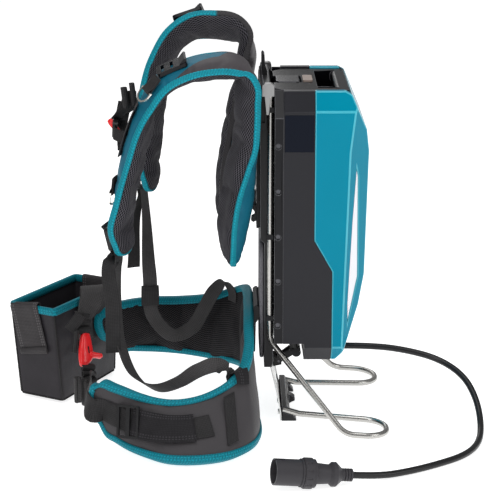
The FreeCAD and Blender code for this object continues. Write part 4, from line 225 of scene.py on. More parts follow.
def bump(wire, height, distance, strength):
    return wire.node("ShaderNodeBump", {}, {"Strength": strength, "Distance": distance, "Height": height})


def dressed(finish, face, relief, depth, strength):
    """The finished material: its colour, and its relief as a bump."""
    made, wire, shader = finish
    join(face, shader.inputs["Base Color"])
    join(bump(wire, relief, depth, strength), shader.inputs["Normal"])
    return made


def place_of(wire):
    return wire.node("ShaderNodeTexCoord", {}, {}, out=3)


def axis_of(wire, vector, index):
    return wire.node("ShaderNodeSeparateXYZ", {}, {"Vector": vector}, out=index)


def noise(wire, where, scale, detail=2.0, rough=0.5):
    values = {"Vector": where, "Scale": scale, "Detail": detail, "Roughness": rough}
    return wire.node("ShaderNodeTexNoise", {}, values)


def stretched(wire, where, scale):
    return wire.node("ShaderNodeMapping", {}, {"Vector": where, "Scale": scale})


# %% [markdown]
# Moulded plastic is never one flat value. The mould's texture breaks up the highlight, broad patches differ
# a little in gloss, and handling leaves faint rubs. One function makes all the plastics from these three
# things, because only their colour, gloss and grain differ.

# %% Plastics, rubber and metal
def plastic(name, colour, rough, grain=0.00006, grain_scale=2600.0, coat=0.0, shine=0.28):
    made, w, shader = new_finish(name, colour, rough, Specular_IOR_Level=shine)
    where = place_of(w)
    broad = noise(w, where, 9.0, 3.0)
    fine = noise(w, where, grain_scale, 1.0)
    rubs = noise(w, stretched(w, where, (40.0, 160.0, 30.0)), 1.0, 4.0, 0.7).between(0.56, 0.8)
    join((broad - 0.5) * 0.12 + rough + rubs * 0.05, shader.inputs["Roughness"])
    if coat:
        shader.inputs["Coat Weight"].default_value = coat
        shader.inputs["Coat Roughness"].default_value = 0.05
    face = ((broad - 0.5) * 0.5 + 0.5).mixed(shade(colour, 0.88), shade(colour, 1.12))
    return dressed((made, w, shader), face, fine, grain, 0.6)


def metal(name, colour, rough, brushed=(1.0, 1.0, 1.0)):
    made, w, shader = new_finish(name, colour, rough, Metallic=1.0)
    where = place_of(w)
    lines = noise(w, stretched(w, where, brushed), 900.0, 2.0)
    broad = noise(w, where, 14.0, 3.0)
    join((lines - 0.5) * 0.16 + (broad - 0.5) * 0.12 + rough, shader.inputs["Roughness"])
    face = broad.mixed(shade(colour, 0.9), shade(colour, 1.06))
    return dressed((made, w, shader), face, lines, 0.00002, 0.5)


black_plastic = plastic("black_plastic", (0.012, 0.012, 0.013), 0.36)
gloss_black = plastic("gloss_black", (0.005, 0.005, 0.007), 0.12, grain=0.00002, shine=0.2)
grey_plastic = plastic("grey_plastic", (0.018, 0.018, 0.022), 0.34, grain=0.00009, shine=0.2)
deck_plastic = plastic("deck_plastic", (0.003, 0.003, 0.004), 0.2, grain=0.00002, shine=0.07)
lid_plastic = plastic("lid_plastic", (0.014, 0.013, 0.016), 0.24, grain=0.00002, shine=0.2)
teal_plastic = plastic("teal_plastic", (0.0, 0.225, 0.335), 0.2, grain=0.00002, grain_scale=500.0, shine=0.09)
red_plastic = plastic("red_plastic", (0.78, 0.018, 0.022), 0.28, grain=0.00002, coat=0.3)
# Paler edge colours for the bevels: painted highlights along the edges of the case and of the dark pieces.
teal_edge_highlight = plastic("teal_edge_highlight", (0.055, 0.43, 0.54), 0.16, grain=0.00001, coat=0.2)
dark_edge_highlight = plastic("dark_edge_highlight", (0.075, 0.075, 0.083), 0.2, grain=0.00001, coat=0.2)
button_plastic = plastic("button_plastic", (0.30, 0.24, 0.21), 0.45)
rubber = plastic("rubber", (0.016, 0.015, 0.016), 0.36, grain=0.00005, grain_scale=900.0)
plug_plastic = plastic("plug_plastic", (0.040, 0.038, 0.043), 0.42, grain=0.0001, grain_scale=1800.0)
steel = metal("steel", (0.48, 0.47, 0.45), 0.27, brushed=(1.0, 0.15, 1.0))
plate_steel = metal("plate_steel", (0.66, 0.66, 0.65), 0.36, brushed=(0.2, 1.0, 1.0))
bracket_steel = metal("bracket_steel", (0.36, 0.36, 0.36), 0.34, brushed=(0.2, 1.0, 1.0))
ring_steel = metal("ring_steel", (0.86, 0.82, 0.76), 0.16)
screw_steel = metal("screw_steel", (0.10, 0.10, 0.11), 0.30)
copper = metal("copper", (0.72, 0.42, 0.26), 0.3)
sleeve = plastic("sleeve", (0.02, 0.10, 0.16), 0.3)
board_green = plastic("board_green", (0.02, 0.12, 0.05), 0.35)

# %% [markdown]
# The small windows in the case are smoked and very smooth, with hair scratches that catch the light. The
# long slashes at its rear corners are reflective film: pale, with fine slanting lines under a clear top.

# %% Window and reflector
def smoked_window():
    made, w, shader = new_finish("smoked_window", (0.006, 0.008, 0.015), 0.04, Specular_IOR_Level=0.07)
    where = place_of(w)
    hair = noise(w, stretched(w, where, (60.0, 900.0, 60.0)), 1.0, 5.0, 0.8).between(0.62, 0.7)
    join(hair * 0.25 + 0.06, shader.inputs["Roughness"])
    join(bump(w, hair, 0.00001, 0.5), shader.inputs["Normal"])
    return made


def reflector_film():
    made, w, shader = new_finish("reflector_film", (0.85, 0.86, 0.90), 0.25, Coat_Weight=0.6,
                                 Coat_Roughness=0.06)
    where = place_of(w)
    across = w.node("ShaderNodeVectorMath", {"operation": "DOT_PRODUCT"},
                    {0: where, 1: (300.0, 260.0, 210.0)}, out=1)
    line = (across.math("FRACT") - 0.5).math("ABSOLUTE").between(0.32, 0.42)
    join(line.mixed((0.90, 0.90, 0.94, 1.0), (0.60, 0.62, 0.70, 1.0)), shader.inputs["Base Color"])
    return made


window = smoked_window()
reflector = reflector_film()
floor_finish, _, floor_shader = new_finish("floor", (0.80, 0.80, 0.80), 0.9, Specular_IOR_Level=0.1)
floor_shader.inputs["Emission Color"].default_value = (1.0, 1.0, 1.0, 1.0)
floor_shader.inputs["Emission Strength"].default_value = 0.8
floor.data.materials.append(floor_finish)

# %% [markdown]
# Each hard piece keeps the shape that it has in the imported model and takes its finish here.

# %% Finishes of the hard pieces
HARD = {
    lid_plastic: ["port_lid"],
    gloss_black: ["case_cover", "lifter_buckles", "belt_bracket", "latch_lever", "strap_loops", "rod_clips"],
    black_plastic: ["back_plate", "harness_plate", "hanger_tab", "base_block", "latch_bracket",
                    "chest_buckle", "webbing_sliders", "cord_gland", "cell_holders"],
    grey_plastic: ["inner_shell"],
    deck_plastic: ["handle_deck"],
    teal_plastic: ["outer_shell"],
    red_plastic: ["waist_buckle", "waist_release", "chest_release"],
    button_plastic: ["power_button"],
    window: ["side_windows"],
    reflector: ["reflector_strips"],
    steel: ["foot_wire_left", "foot_wire_right"],
    plate_steel: ["strut_plate", "frame_bolts"],
    bracket_steel: ["top_brackets"],
    screw_steel: ["case_screws", "lid_pin", "latch_pin"],
    ring_steel: ["upper_ring_left", "lower_ring_left", "upper_ring_right", "lower_ring_right"],
    copper: ["bus_bars", "plug_contacts"],
    sleeve: ["cell_blocks"],
    board_green: ["circuit_board"],
    rubber: ["strain_relief"],
    plug_plastic: ["plug_body", "plug_collar"],
}
for finish, names in HARD.items():
    for name in names:
        slots = nodes[name].data.materials
        for index in range(len(slots)):
            slots[index] = finish

# %% [markdown]
# The cord leaves the strain relief under the case, falls in one long bend to the floor, runs round and comes
# back to the plug. It shows from end to end, so its length is the one that is seen. A smooth spline through
# a few control points gives it the stiff, even curve of a thick rubber cord.

# %% Supply cord
CORD_RADIUS = 5.5 * MM
PLUG_START = Vector((363.0, 91.0, 15.436))
PLUG_DIRECTION = Vector((0.21913, -0.96616, 0.13608))
CORD_PLUG_RUN = 45.0
CORD_ROUTE = [
    (0.0, 88.0, 108.0), (0.0, 146.0, 108.0), (3.0, 206.0, 101.0), (16.0, 262.0, 89.0), (58.0, 301.0, 73.0),
    (104.0, 318.0, 47.0), (150.0, 321.0, 18.0), (204.0, 311.0, 6.2), (257.0, 282.0, 5.8), (298.0, 229.0, 5.8),
    (327.0, 182.0, 6.2), tuple(PLUG_START - PLUG_DIRECTION * CORD_PLUG_RUN), tuple(PLUG_START)]
cord_curve = bpy.data.curves.new("supply_cord", "CURVE")
cord_curve.dimensions = "3D"
cord_line = cord_curve.splines.new("NURBS")
cord_line.points.add(len(CORD_ROUTE) - 1)
for point, place in zip(cord_line.points, CORD_ROUTE):
    point.co = (*[c * MM for c in place], 1.0)
cord_line.order_u = 3
cord_line.use_endpoint_u = True
cord_line.resolution_u = 16
cord_curve.bevel_depth = CORD_RADIUS
cord_curve.bevel_resolution = 8
cord_curve.use_fill_caps = True
supply_cord = bpy.data.objects.new("supply_cord", cord_curve)
scene.collection.objects.link(supply_cord)
cord_rubber = plastic("cord_rubber", (0.014, 0.014, 0.015), 0.27, grain=0.00002, grain_scale=700.0)
supply_cord.data.materials.append(cord_rubber)
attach(supply_cord, PACK)
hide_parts("power_cord")

# %% [markdown]
# Cloth needs a pattern that follows the surface, so every soft piece carries a map in real metres: u runs
# along it and v goes round it. A webbing's ribs, a mesh fabric's holes and a row of stitches can then be
# written at their real pitch, and they bend with the piece.

# %% Cloth finishes
def new_cloth(name, colour, rough, sheen, spread, shine):
    """A finish with some sheen, and the place, u and v of the piece's map in metres."""
    made, wire, shader = new_finish(name, colour, rough, Sheen_Weight=sheen, Sheen_Roughness=spread,
                                    Specular_IOR_Level=shine)
    where = wire.node("ShaderNodeUVMap", {"uv_map": "weave"}, {})
    return made, wire, shader, where, axis_of(wire, where, 0), axis_of(wire, where, 1)


def wave(value, pitch):
    """Runs from 0 to 1 and back once in each pitch."""
    return (value * (2 * math.pi / pitch)).math("SINE") * 0.5 + 0.5


def twill_of(u, v):
    return wave(u + v, 0.0011) * 0.6 + wave(u - v * 0.4, 0.0007) * 0.4


def satin(name, colour, rough, sheen, tint=None):
    """A tight, slightly shiny cloth: a twill too fine to count, soft dents and a little sheen."""
    made, w, shader, where, u, v = new_cloth(name, colour, rough, sheen, 0.4, 0.14)
    twill = twill_of(u, v)
    dents = noise(w, place_of(w), 26.0, 3.0)
    fleck = noise(w, where, 1400.0, 1.0)
    grain = dents * 0.45 + twill * 0.25 + fleck * 0.3
    face = grain.mixed(shade(colour, 0.86), shade(tint or colour, 1.16))
    return dressed((made, w, shader), face, twill * 0.4 + fleck * 0.3 + dents * 14.0, 0.00012, 0.7)


def webbing_cloth(name, colour, rib=0.0024, stitched=None):
    """Flat polyester webbing: cross ribs, warp lines and slubs, and stitch rows if its width is given."""
    made, w, shader, where, u, v = new_cloth(name, colour, 0.6, 0.02, 0.35, 0.1)
    ribs = wave(u, rib)
    warp = wave(v, 0.0030)
    slub = noise(w, stretched(w, where, (700.0, 240.0, 1.0)), 1.0, 2.0)
    broad = noise(w, place_of(w), 40.0, 2.0)
    crest = ribs * 0.4 + warp * 0.25 + slub * 0.3 + (broad - 0.5) * 0.5
    face = crest.mixed(shade(colour, 0.5), shade(colour, 1.6))
    relief = ribs * 0.7 + warp * 0.4 + slub * 0.25
    if stitched:
        middle = (v - stitched / 2).math("ABSOLUTE")
        row = sum(middle.near(stitched / 2 - inset, 0.0005, 0.0011) for inset in (0.0035, 0.0075))
        thread = row * wave(u, 0.0048).between(0.3, 0.6) * (1 - v.between(stitched, stitched + 0.001))
        face = thread.mixed(face, shade(colour, 2.4))
        relief = relief + thread * 0.6 - row * 0.8
    return dressed((made, w, shader), face, relief, 0.0004, 0.9)


def binding_tape(name, colour, plain=None, rows=(0.0034, 0.0128)):
    """Folded edge tape with stitch rows; plain is its colour on the inner edges behind the shoulders."""
    made, w, shader, where, u, v = new_cloth(name, colour, 0.5, 0.02, 0.35, 0.14)
    ribs = wave(u + v * 0.5, 0.0044)
    fine = wave(u - v * 0.6, 0.0017)
    row = sum(v.near(place, 0.0006, 0.0013) for place in rows)
    thread = row * wave(u, 0.0056).between(0.3, 0.6)
    worn = noise(w, stretched(w, where, (120.0, 300.0, 1.0)), 1.0, 3.0)
    crest = ribs * 0.4 + fine * 0.15 + worn * 0.45
    hue = crest.mixed(shade(colour, 0.6), shade(colour, 1.5))
    face = (thread * 0.7).mixed(hue, shade(colour, 2.0))
    if plain:
        x, y, z = [axis_of(w, place_of(w), index) for index in range(3)]
        rear = y.between(-0.122, -0.116) * z.between(0.306, 0.312)
        inner = 1 - x.math("ABSOLUTE").between(0.093, 0.097)
        face = (rear * inner).mixed(face, crest.mixed(shade(plain, 0.7), shade(plain, 1.3)))
    relief = ribs * 0.5 + fine * 0.2 + thread * 0.8 - row * 0.7
    return dressed((made, w, shader), face, relief, 0.00045, 0.9)


# The core colour seen through the mesh holes is partly the dark inner layer and partly painted shade.
CORE_CLOTH_IN_SHADE = (0.002, 0.002, 0.003)
CORNER_CLOTH = (0.082, 0.078, 0.082)


def spacer_mesh(name, thread, pitch, ribbed_from=None):
    """Open spacer fabric: a dark core seen through staggered holes in a paler knit, with fine cross lines;
    the core is painted near black, partly the inner layer and partly painted shade in the holes.
    """
    made, w, shader, where, u, v = new_cloth(name, thread, 0.7, 0.02, 0.5, 0.1)

    def holes(shift):
        side = (u * (1 / pitch) + shift).math("FRACT") - 0.5
        up = (v * (1.5 / pitch) + shift).math("FRACT") - 0.5
        return (side * side + up * up).math("SQRT").between(0.16, 0.42)

    knit = holes(0.0) * holes(0.5)
    dents = noise(w, place_of(w), 24.0, 3.0)
    face = (knit * (dents * 0.9 + 0.45)).mixed(shade(CORE_CLOTH_IN_SHADE, 1.0), shade(thread, 1.0))
    relief = knit + dents * 5.0
    if ribbed_from is not None:
        corner = axis_of(w, place_of(w), 0).between(ribbed_from, ribbed_from + 0.003)
        ribs = wave(u, 0.0062)
        panel = (ribs * 0.65 + dents * 0.35).mixed(shade(CORNER_CLOTH, 0.4), shade(CORNER_CLOTH, 1.35))
        face = corner.mixed(face, panel)
        relief = relief + corner * (ribs - knit)
    return dressed((made, w, shader), face, relief, 0.0008, 1.0)


def closed_foam(name, colour):
    """Cut foam: a stippled skin of tiny pits."""
    made, w, shader = new_finish(name, colour, 0.75, Specular_IOR_Level=0.2)
    where = place_of(w)
    pits = w.node("ShaderNodeTexVoronoi", {}, {"Vector": where, "Scale": 420.0})
    grain = pits.between(0.1, 0.5) * 0.7 + noise(w, where, 30.0, 3.0) * 0.3
    face = grain.mixed(shade(colour, 0.55), shade(colour, 1.3))
    return dressed((made, w, shader), face, grain, 0.0005, 0.8)


TEAL_CLOTH = (0.003, 0.112, 0.176)
GREY_CLOTH = (0.050, 0.044, 0.049)
PANEL_REAR = 0.22
PANEL_FRONT = 0.455
PANEL_BEND = 0.375
PANEL_REACH = 0.09


def panelled_satin(name, wedge):
    """Teal satin with the grey panel that is sewn over the rear bend; wedge is how far it reaches forward."""
    made, w, shader, where, u, v = new_cloth(name, TEAL_CLOTH, 0.5, 0.03, 0.4, 0.2)
    twill = twill_of(u, v)
    dents = noise(w, place_of(w), 26.0, 3.0)
    limit = PANEL_REACH - u.between(PANEL_BEND - 0.03, PANEL_BEND) * (PANEL_REACH - wedge)
    limit = limit - u.between(PANEL_BEND, PANEL_FRONT) * wedge
    edge = limit - v
    inside = edge.between(-0.0002, 0.0002) * u.between(PANEL_REAR - 0.0002, PANEL_REAR + 0.0002)
    seam = edge.near(0.0, 0.0004, 0.0012)
    grain = dents * 0.6 + twill * 0.4
    teal = grain.mixed(shade(TEAL_CLOTH, 0.85), shade(TEAL_CLOTH, 1.25))
    grey = grain.mixed(shade(GREY_CLOTH, 0.8), shade(GREY_CLOTH, 1.3))
    relief = twill * 0.3 + dents * 10.0 + inside * 2.0 - seam * 2.5
    return dressed((made, w, shader), inside.mixed(teal, grey), relief, 0.00012, 0.8)


teal_satin = panelled_satin("teal_satin", 0.042)
far_satin = panelled_satin("far_satin", 0.0)
belt_satin = satin("belt_satin", (0.058, 0.054, 0.058), 0.5, 0.04)
pouch_cloth = satin("pouch_cloth", (0.018, 0.016, 0.019), 0.42, 0.03, (0.034, 0.031, 0.036))
web_cloth = webbing_cloth("web_cloth", (0.028, 0.027, 0.028))
pale_web = webbing_cloth("pale_web", (0.050, 0.048, 0.049))
band_cloth = webbing_cloth("band_cloth", (0.048, 0.045, 0.047), 0.0026, 0.058)
edge_web = webbing_cloth("edge_web", (0.020, 0.019, 0.021), 0.0024, 0.046)
teal_tape = binding_tape("teal_tape", (0.004, 0.205, 0.265), (0.040, 0.038, 0.041))
belt_tape = binding_tape("belt_tape", (0.004, 0.170, 0.222), rows=(0.0034, 0.0080, 0.0300, 0.0346))
strap_mesh = spacer_mesh("strap_mesh", (0.105, 0.100, 0.116), 0.0066)
belt_mesh = spacer_mesh("belt_mesh", (0.055, 0.052, 0.055), 0.0058, 0.062)
foam = closed_foam("foam", (0.16, 0.155, 0.17))
print("materials", len(bpy.data.materials))

# %% [markdown]
# A strap, a belt and a cord are all one section carried along a line. The line comes from a few rows of the
# harness's own measures, smoothed between them, and each row also says which way the width points. This is
# the same smoothing that shaped the solids, so the cloth lies where the pack expects it.

# %% Lines through rows
def curve_between(rows, parts):
    gaps = [math.dist(a[0:3], b[0:3]) for a, b in zip(rows, rows[1:])]
    rises = [[(v - u) / gap for u, v in zip(a, b)] for a, b, gap in zip(rows, rows[1:], gaps)]
    slopes = [rises[0]]
    for before, after, short, long in zip(rises, rises[1:], gaps, gaps[1:]):
        slopes.append([(u * long + v * short) / (short + long) for u, v in zip(before, after)])
    slopes.append(rises[-1])
    smooth = []
    for index, gap in enumerate(gaps):
        for step in range(parts):
            t = step / parts
            share = (1 + 2 * t) * (1 - t) ** 2
            leave = t * (1 - t) ** 2 * gap
            arrive = t * t * (t - 1) * gap
            ends = zip(rows[index], rows[index + 1], slopes[index], slopes[index + 1])
            smooth.append([share * a + (1 - share) * b + leave * m + arrive * n for a, b, m, n in ends])
    smooth.append(list(rows[-1]))
    return smooth


def strap_frames(rows, parts):
    """Middle, width direction, outward direction, way along and width at each step, in metres."""
    smooth = curve_between(rows, parts)
    frames = []
    for index, row in enumerate(smooth):
        back = Vector(smooth[max(index - 1, 0)][0:3])
        ahead = Vector(smooth[min(index + 1, len(smooth) - 1)][0:3])
        along = (ahead - back).normalized()
        wide = Vector(row[3:6])
        wide = (wide - along * wide.dot(along)).normalized()
        frames.append((Vector(row[0:3]) * MM, wide, along.cross(wide).normalized(), along, row[6] * MM)
                      + tuple(more * MM for more in row[7:]))
    return frames


# %% [markdown]
# The loft starts as one ring of points. Extruding its edges makes the next ring, which is then put in
# place, and so on to the end: the same as pressing E again and again along a path. The map in metres is then
# written at every corner. Extruding leaves edges and faces in an order that changes from run to run, and a
# cloth simulation feels that, so they are sorted at the end.

# %% Loft, and the step from a shape to a piece
def fixed_place(part, total):
    """A number for an edge or a face from its vertices' places, out of the total."""
    first, second = sorted(vert.index for vert in part.verts)[:2]
    return (first * total + second) * 2 + (len(part.verts) > 4)


def loft(rings, ends=True):
    """Rings of points joined to one skin; also says for each vertex its ring and its place in the ring."""
    shape = bmesh.new()
    count = len(rings[0])
    spots = {}
    ring = []
    for k, place in enumerate(rings[0]):
        vert = shape.verts.new(place)
        spots[vert] = (0, k)
        ring.append(vert)
    edges = [shape.edges.new((ring[k], ring[(k + 1) % count])) for k in range(count)]
    if ends:
        shape.faces.new(ring)
    for index, places in enumerate(rings[1:], 1):
        grown = bmesh.ops.extrude_edge_only(shape, edges=edges)["geom"]
        fresh = {part for part in grown if isinstance(part, bmesh.types.BMVert)}
        edges = [part for part in grown
                 if isinstance(part, bmesh.types.BMEdge) and all(vert in fresh for vert in part.verts)]
        ring = [next(edge.other_vert(old) for edge in old.link_edges if edge.other_vert(old) in fresh)
                for old in ring]
        for k, (vert, place) in enumerate(zip(ring, places)):
            vert.co = place
            spots[vert] = (index, k)
    if ends:
        shape.faces.new(ring)
    middles = [sum(places, Vector()) / count for places in rings]
    run = [0.0]
    for a, b in zip(middles, middles[1:]):
        run.append(run[-1] + (b - a).length)
    around = []
    for places in rings:
        reach = [0.0]
        for k in range(count):
            reach.append(reach[-1] + (places[(k + 1) % count] - places[k]).length)
        around.append(reach)
    layer = shape.loops.layers.uv.new("weave")
    for face in shape.faces:
        wraps = {spots[vert][1] for vert in face.verts} >= {0, count - 1} and len(face.verts) == 4
        for corner in face.loops:
            index, k = spots[corner.vert]
            corner[layer].uv = (run[index], around[index][count if wraps and k == 0 else k])
    bmesh.ops.recalc_face_normals(shape, faces=shape.faces)
    shape.verts.index_update()
    total = len(shape.verts)
    for parts in (shape.edges, shape.faces):
        parts.sort(key=lambda part: fixed_place(part, total))
    return shape, spots


def piece_from(shape, name, finishes, body=PACK, replaces=()):
    mesh = bpy.data.meshes.new(name)
    shape.to_mesh(mesh)
    shape.free()
    made = bpy.data.objects.new(name, mesh)
    scene.collection.objects.link(made)
    for finish in finishes:
        mesh.materials.append(finish)
    for face in mesh.polygons:
        face.use_smooth = True
    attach(made, body)
    if replaces:
        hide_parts(*replaces)
    return made


def lofted(name, rings, finish, body=PACK, replaces=(), loop=False, gap=0.00001):
    """A loft as a piece of its own; with loop its last ring is its first one, and both are merged."""
    shape = loft(rings, ends=not loop)[0]
    if loop:
        bmesh.ops.remove_doubles(shape, verts=shape.verts, dist=gap)
        bmesh.ops.recalc_face_normals(shape, faces=shape.faces)
    return piece_from(shape, name, [finish], body, replaces)


def smoothed(made):
    smoothing = made.modifiers.new("smooth", "SUBSURF")
    smoothing.levels = smoothing.render_levels = 1


def round_spots(count, square_across=1.0, square_up=1.0):
    """Points round a circle of radius 1, (across, up); a power below 1 squares it off that way."""
    for k in range(count):
        angle = 2 * math.pi * k / count
        c, s = math.cos(angle), math.sin(angle)
        yield math.copysign(abs(c) ** square_across, c), math.copysign(abs(s) ** square_up, s)


def ring_at(frame, outline):
    """The outline's points, (across, outwards) in metres, set square to the line at this frame."""
    here, wide, normal = frame[0:3]
    return [here + wide * a + normal * b for a, b in outline]

# %% [markdown]
# Each shoulder strap is two cloths over foam: teal satin outside, open mesh against the body. They are sewn
# together at the edge, so the section is crowned on both faces and its sides stay about eight millimetres
# high, where the edge tape sits. The tips are rounded off. A cloth simulation could start from any block,
# but starting from this section keeps the map and the seams where they belong.

# %% Shoulder strap rows
LEFT_STRAP = [
    (88, -92, 295, 0.95, 0.25, 0.0, 44, 6, 8, 9), (90, -90, 315, 0.95, 0.27, 0.0, 64, 11, 12, 11),
    (92, -86, 352, 0.95, 0.28, 0.0, 74, 15, 15, 12), (93, -77, 405, 0.95, 0.28, 0.0, 74, 15, 15, 15),
    (94, -72, 450, 0.94, 0.33, 0.0, 74, 8, 11, 16), (94, -68, 483, 0.93, 0.36, 0.0, 74, 2, 6, 14),
    (95, -67, 516, 0.93, 0.36, 0.0, 74, 0, 4.6, 12), (95, -66, 556, 0.93, 0.36, -0.02, 74, 0, 4.6, 12),
    (95, -65, 588, 0.94, 0.30, -0.08, 74, 0, 4.6, 12), (95, -72, 608, 0.95, 0.14, -0.16, 74, 0, 4.6, 11),
    (95, -88, 616, 0.96, 0.04, -0.19, 74, 0, 4.6, 14), (95, -130, 617, 0.96, 0.0, -0.19, 74, 0, 4.6, 16),
    (95, -165, 610, 0.96, 0.0, -0.19, 74, 1, 4.6, 16), (95, -205, 593, 0.96, 0.05, -0.19, 74, 5, 4.6, 14),
    (95, -237, 552, 0.97, -0.02, -0.10, 74, 11, 4.6, 12), (95, -251, 511, 0.975, -0.20, 0.0, 73, 12, 4.6, 13),
    (94, -264, 466, 0.975, -0.22, 0.0, 70, 11, 4.6, 15), (92, -272, 425, 0.97, -0.24, 0.0, 67, 7, 4.6, 15),
    (90, -276, 385, 0.96, -0.28, 0.0, 64, 1, 4.6, 14), (89, -281, 345, 0.92, -0.39, 0.0, 60, 0, 4.6, 15),
    (88, -274, 314, 0.88, -0.47, 0.0, 46, 0, 4.0, 10)]
RIGHT_STRAP = [
    (-88, -100, 290, 0.94, -0.3, 0, 44, 0, 4.6, 8), (-90, -99, 313, 0.93, -0.36, 0, 66, 0, 4.6, 10),
    (-92, -97, 356, 0.93, -0.36, 0, 74, 0, 4.6, 12), (-93, -94, 410, 0.94, -0.34, 0, 74, 0, 4.6, 12),
    (-94, -88, 455, 0.95, -0.3, 0, 74, 0, 4.6, 12), (-94, -82, 492, 0.96, -0.28, 0, 74, 0, 4.6, 12),
    (-95, -76, 525, 0.96, -0.27, 0, 74, 0, 4.6, 12), (-95, -68, 566, 0.97, -0.22, 0, 74, 0, 4.6, 12),
    (-95, -63, 602, 0.95, -0.15, 0.18, 74, 0, 4.6, 12), (-95, -69, 629, 0.86, -0.05, 0.5, 74, 0, 4.6, 12),
    (-95, -88, 645, 0.77, 0, 0.63, 74, 0, 4.6, 11), (-95, -124, 651, 0.76, 0, 0.65, 74, 0, 4.6, 11),
    (-95, -160, 648, 0.77, -0.03, 0.63, 74, 0, 4.6, 11), (-95, -192, 627, 0.8, -0.15, 0.55, 74, 0, 4.6, 11),
    (-95, -215, 586, 0.84, -0.38, 0.3, 74, 0, 4.6, 12), (-95, -228, 540, 0.86, -0.47, 0.08, 74, 0, 4.6, 13),
    (-95, -234, 495, 0.87, -0.48, 0, 72, 0, 4.6, 13), (-94, -238, 458, 0.88, -0.46, 0, 68, 0, 4.6, 13),
    (-92, -239, 426, 0.89, -0.44, 0, 62, 0, 4.6, 12), (-90, -237, 399, 0.9, -0.42, 0, 54, 0, 4.6, 10),
    (-89, -235, 379, 0.91, -0.4, 0, 40, 0, 4.0, 7)]
STRAP_PARTS = 8
EDGE_HALF = 4.2 * MM
EDGE_OUT = 0.6 * MM
INNER_BULGE = 1.5 * MM
TIP_LENGTH = 15 * MM
OUTER_SPOTS = 13
INNER_SPOTS = 15


def strap_section(width, shape, thin=1.0):
    """Across and outwards, from the near edge over the outer face, and back over the inner one."""
    gutter, crown, swell = shape
    half = width / 2
    outline = []
    for k in range(OUTER_SPOTS):
        a = math.cos(math.pi * k / (OUTER_SPOTS - 1))
        outline.append((a * half, (EDGE_HALF + crown * (1 - abs(a) ** 3) - gutter * a * a) * thin))
    outline.append((-half - EDGE_OUT * thin, -gutter * thin))
    for k in range(INNER_SPOTS):
        a = -math.cos(math.pi * k / (INNER_SPOTS - 1))
        bulge = INNER_BULGE * math.sin(math.pi * min(1.0, 4 * (1 - abs(a))))
        outline.append(((half + bulge) * a, -(EDGE_HALF + swell * (1 - abs(a) ** 7) + gutter * a * a) * thin))
    outline.append((half + EDGE_OUT * thin, -gutter * thin))
    return outline


def with_tips(frames):
    """The frames, and a few more that close each end in a round tip, with how full each one is."""
    made = []
    for end, sign in ((frames[0], -1), (frames[-1], 1)):
        here, wide, normal, along, width = end[:5]
        tip = []
        for turn in (18, 36, 54, 70, 82):
            angle = math.radians(turn)
            share = math.cos(angle)
            place = here + along * (sign * TIP_LENGTH * math.sin(angle))
            tip.append(((place, wide, normal, along, width * share) + tuple(more * share for more in end[5:]),
                        0.35 + 0.65 * share))
        made.append(tip)
    return made[0][::-1] + [(each, 1.0) for each in frames] + made[1]


def around_edge(frames):
    """The way round a strap's edge: up its near side, round the tip, down the far side and back."""
    sides = []
    for sign in (1, -1):
        side = []
        for here, wide, normal, along, width, gutter, crown, swell in frames:
            up = normal * 0.94 - wide * (sign * 0.34 * min(1.0, gutter / (10 * MM)))
            facing = up.cross(along).normalized() * -sign
            if facing.dot(wide) * sign < 0:
                facing = facing * -1
            side.append((here - normal * gutter + wide * (sign * width / 2), facing, up.normalized()))
        sides.append(side)
    tips = []
    for end, sign in ((frames[-1], 1), (frames[0], -1)):
        here, wide, normal, along, width, gutter = end[:6]
        tip = []
        for turn in range(15, 180, 15):
            c, s = math.cos(math.radians(turn)), math.sin(math.radians(turn))
            out = wide * c * (width / 2) + along * (sign * s * TIP_LENGTH)
            facing = (wide * c * TIP_LENGTH + along * (sign * s * width / 2)).normalized()
            tip.append((here + out - normal * (gutter * c ** 2), facing, normal))
        tips.append(tip)
    return sides[0] + tips[0] + sides[1][::-1] + tips[1][::-1]


TAPE_HALF = 5.6 * MM
TAPE_PROUD = 2.2 * MM


def tape_section(half=TAPE_HALF, proud=TAPE_PROUD, flange=0.0):
    """Out from the seam and along the strap's thickness: a band with rolled edges, folded in by flange."""
    outline = []
    for k in range(11):
        b = -1 + 2 * k / 10
        outline.append((proud * (1 - abs(b) ** 5) + 0.5 * MM, b * half))
    if not flange:
        return outline + [(-1.6 * MM, half * 0.8), (-1.6 * MM, -half * 0.8)]
    lip = half + 0.9 * MM
    under = [(-flange, -half * 0.85), (-flange, -lip), (-flange / 2, -lip - 0.3 * MM), (-1.0 * MM, -lip)]
    return under + outline + [(a, -b) for a, b in under[::-1]]


def tape_round(name, route, finish, half=TAPE_HALF, proud=TAPE_PROUD, flange=0.0):
    outline = tape_section(half, proud, flange)
    rings = [[place + facing * a + normal * b for a, b in outline]
             for place, facing, normal in route + route[:1]]
    lofted(name, rings, finish, loop=True, gap=0.00002)

# %% [markdown]
# The foam pushes the cloth out and the seams hold it in. A short run of cloth simulation with pressure does
# that: the points at the seam are pinned, the cloth is cut a few percent too large, and where the strap
# bends over the shoulder the spare cloth of the mesh face gathers into creases. What a point may move is
# capped afterwards, so that buckles and webbing still lie on the outer face.

# %% Cloth simulation
CLOTH_PRESSURE = 4.0
CLOTH_FRAMES = 20


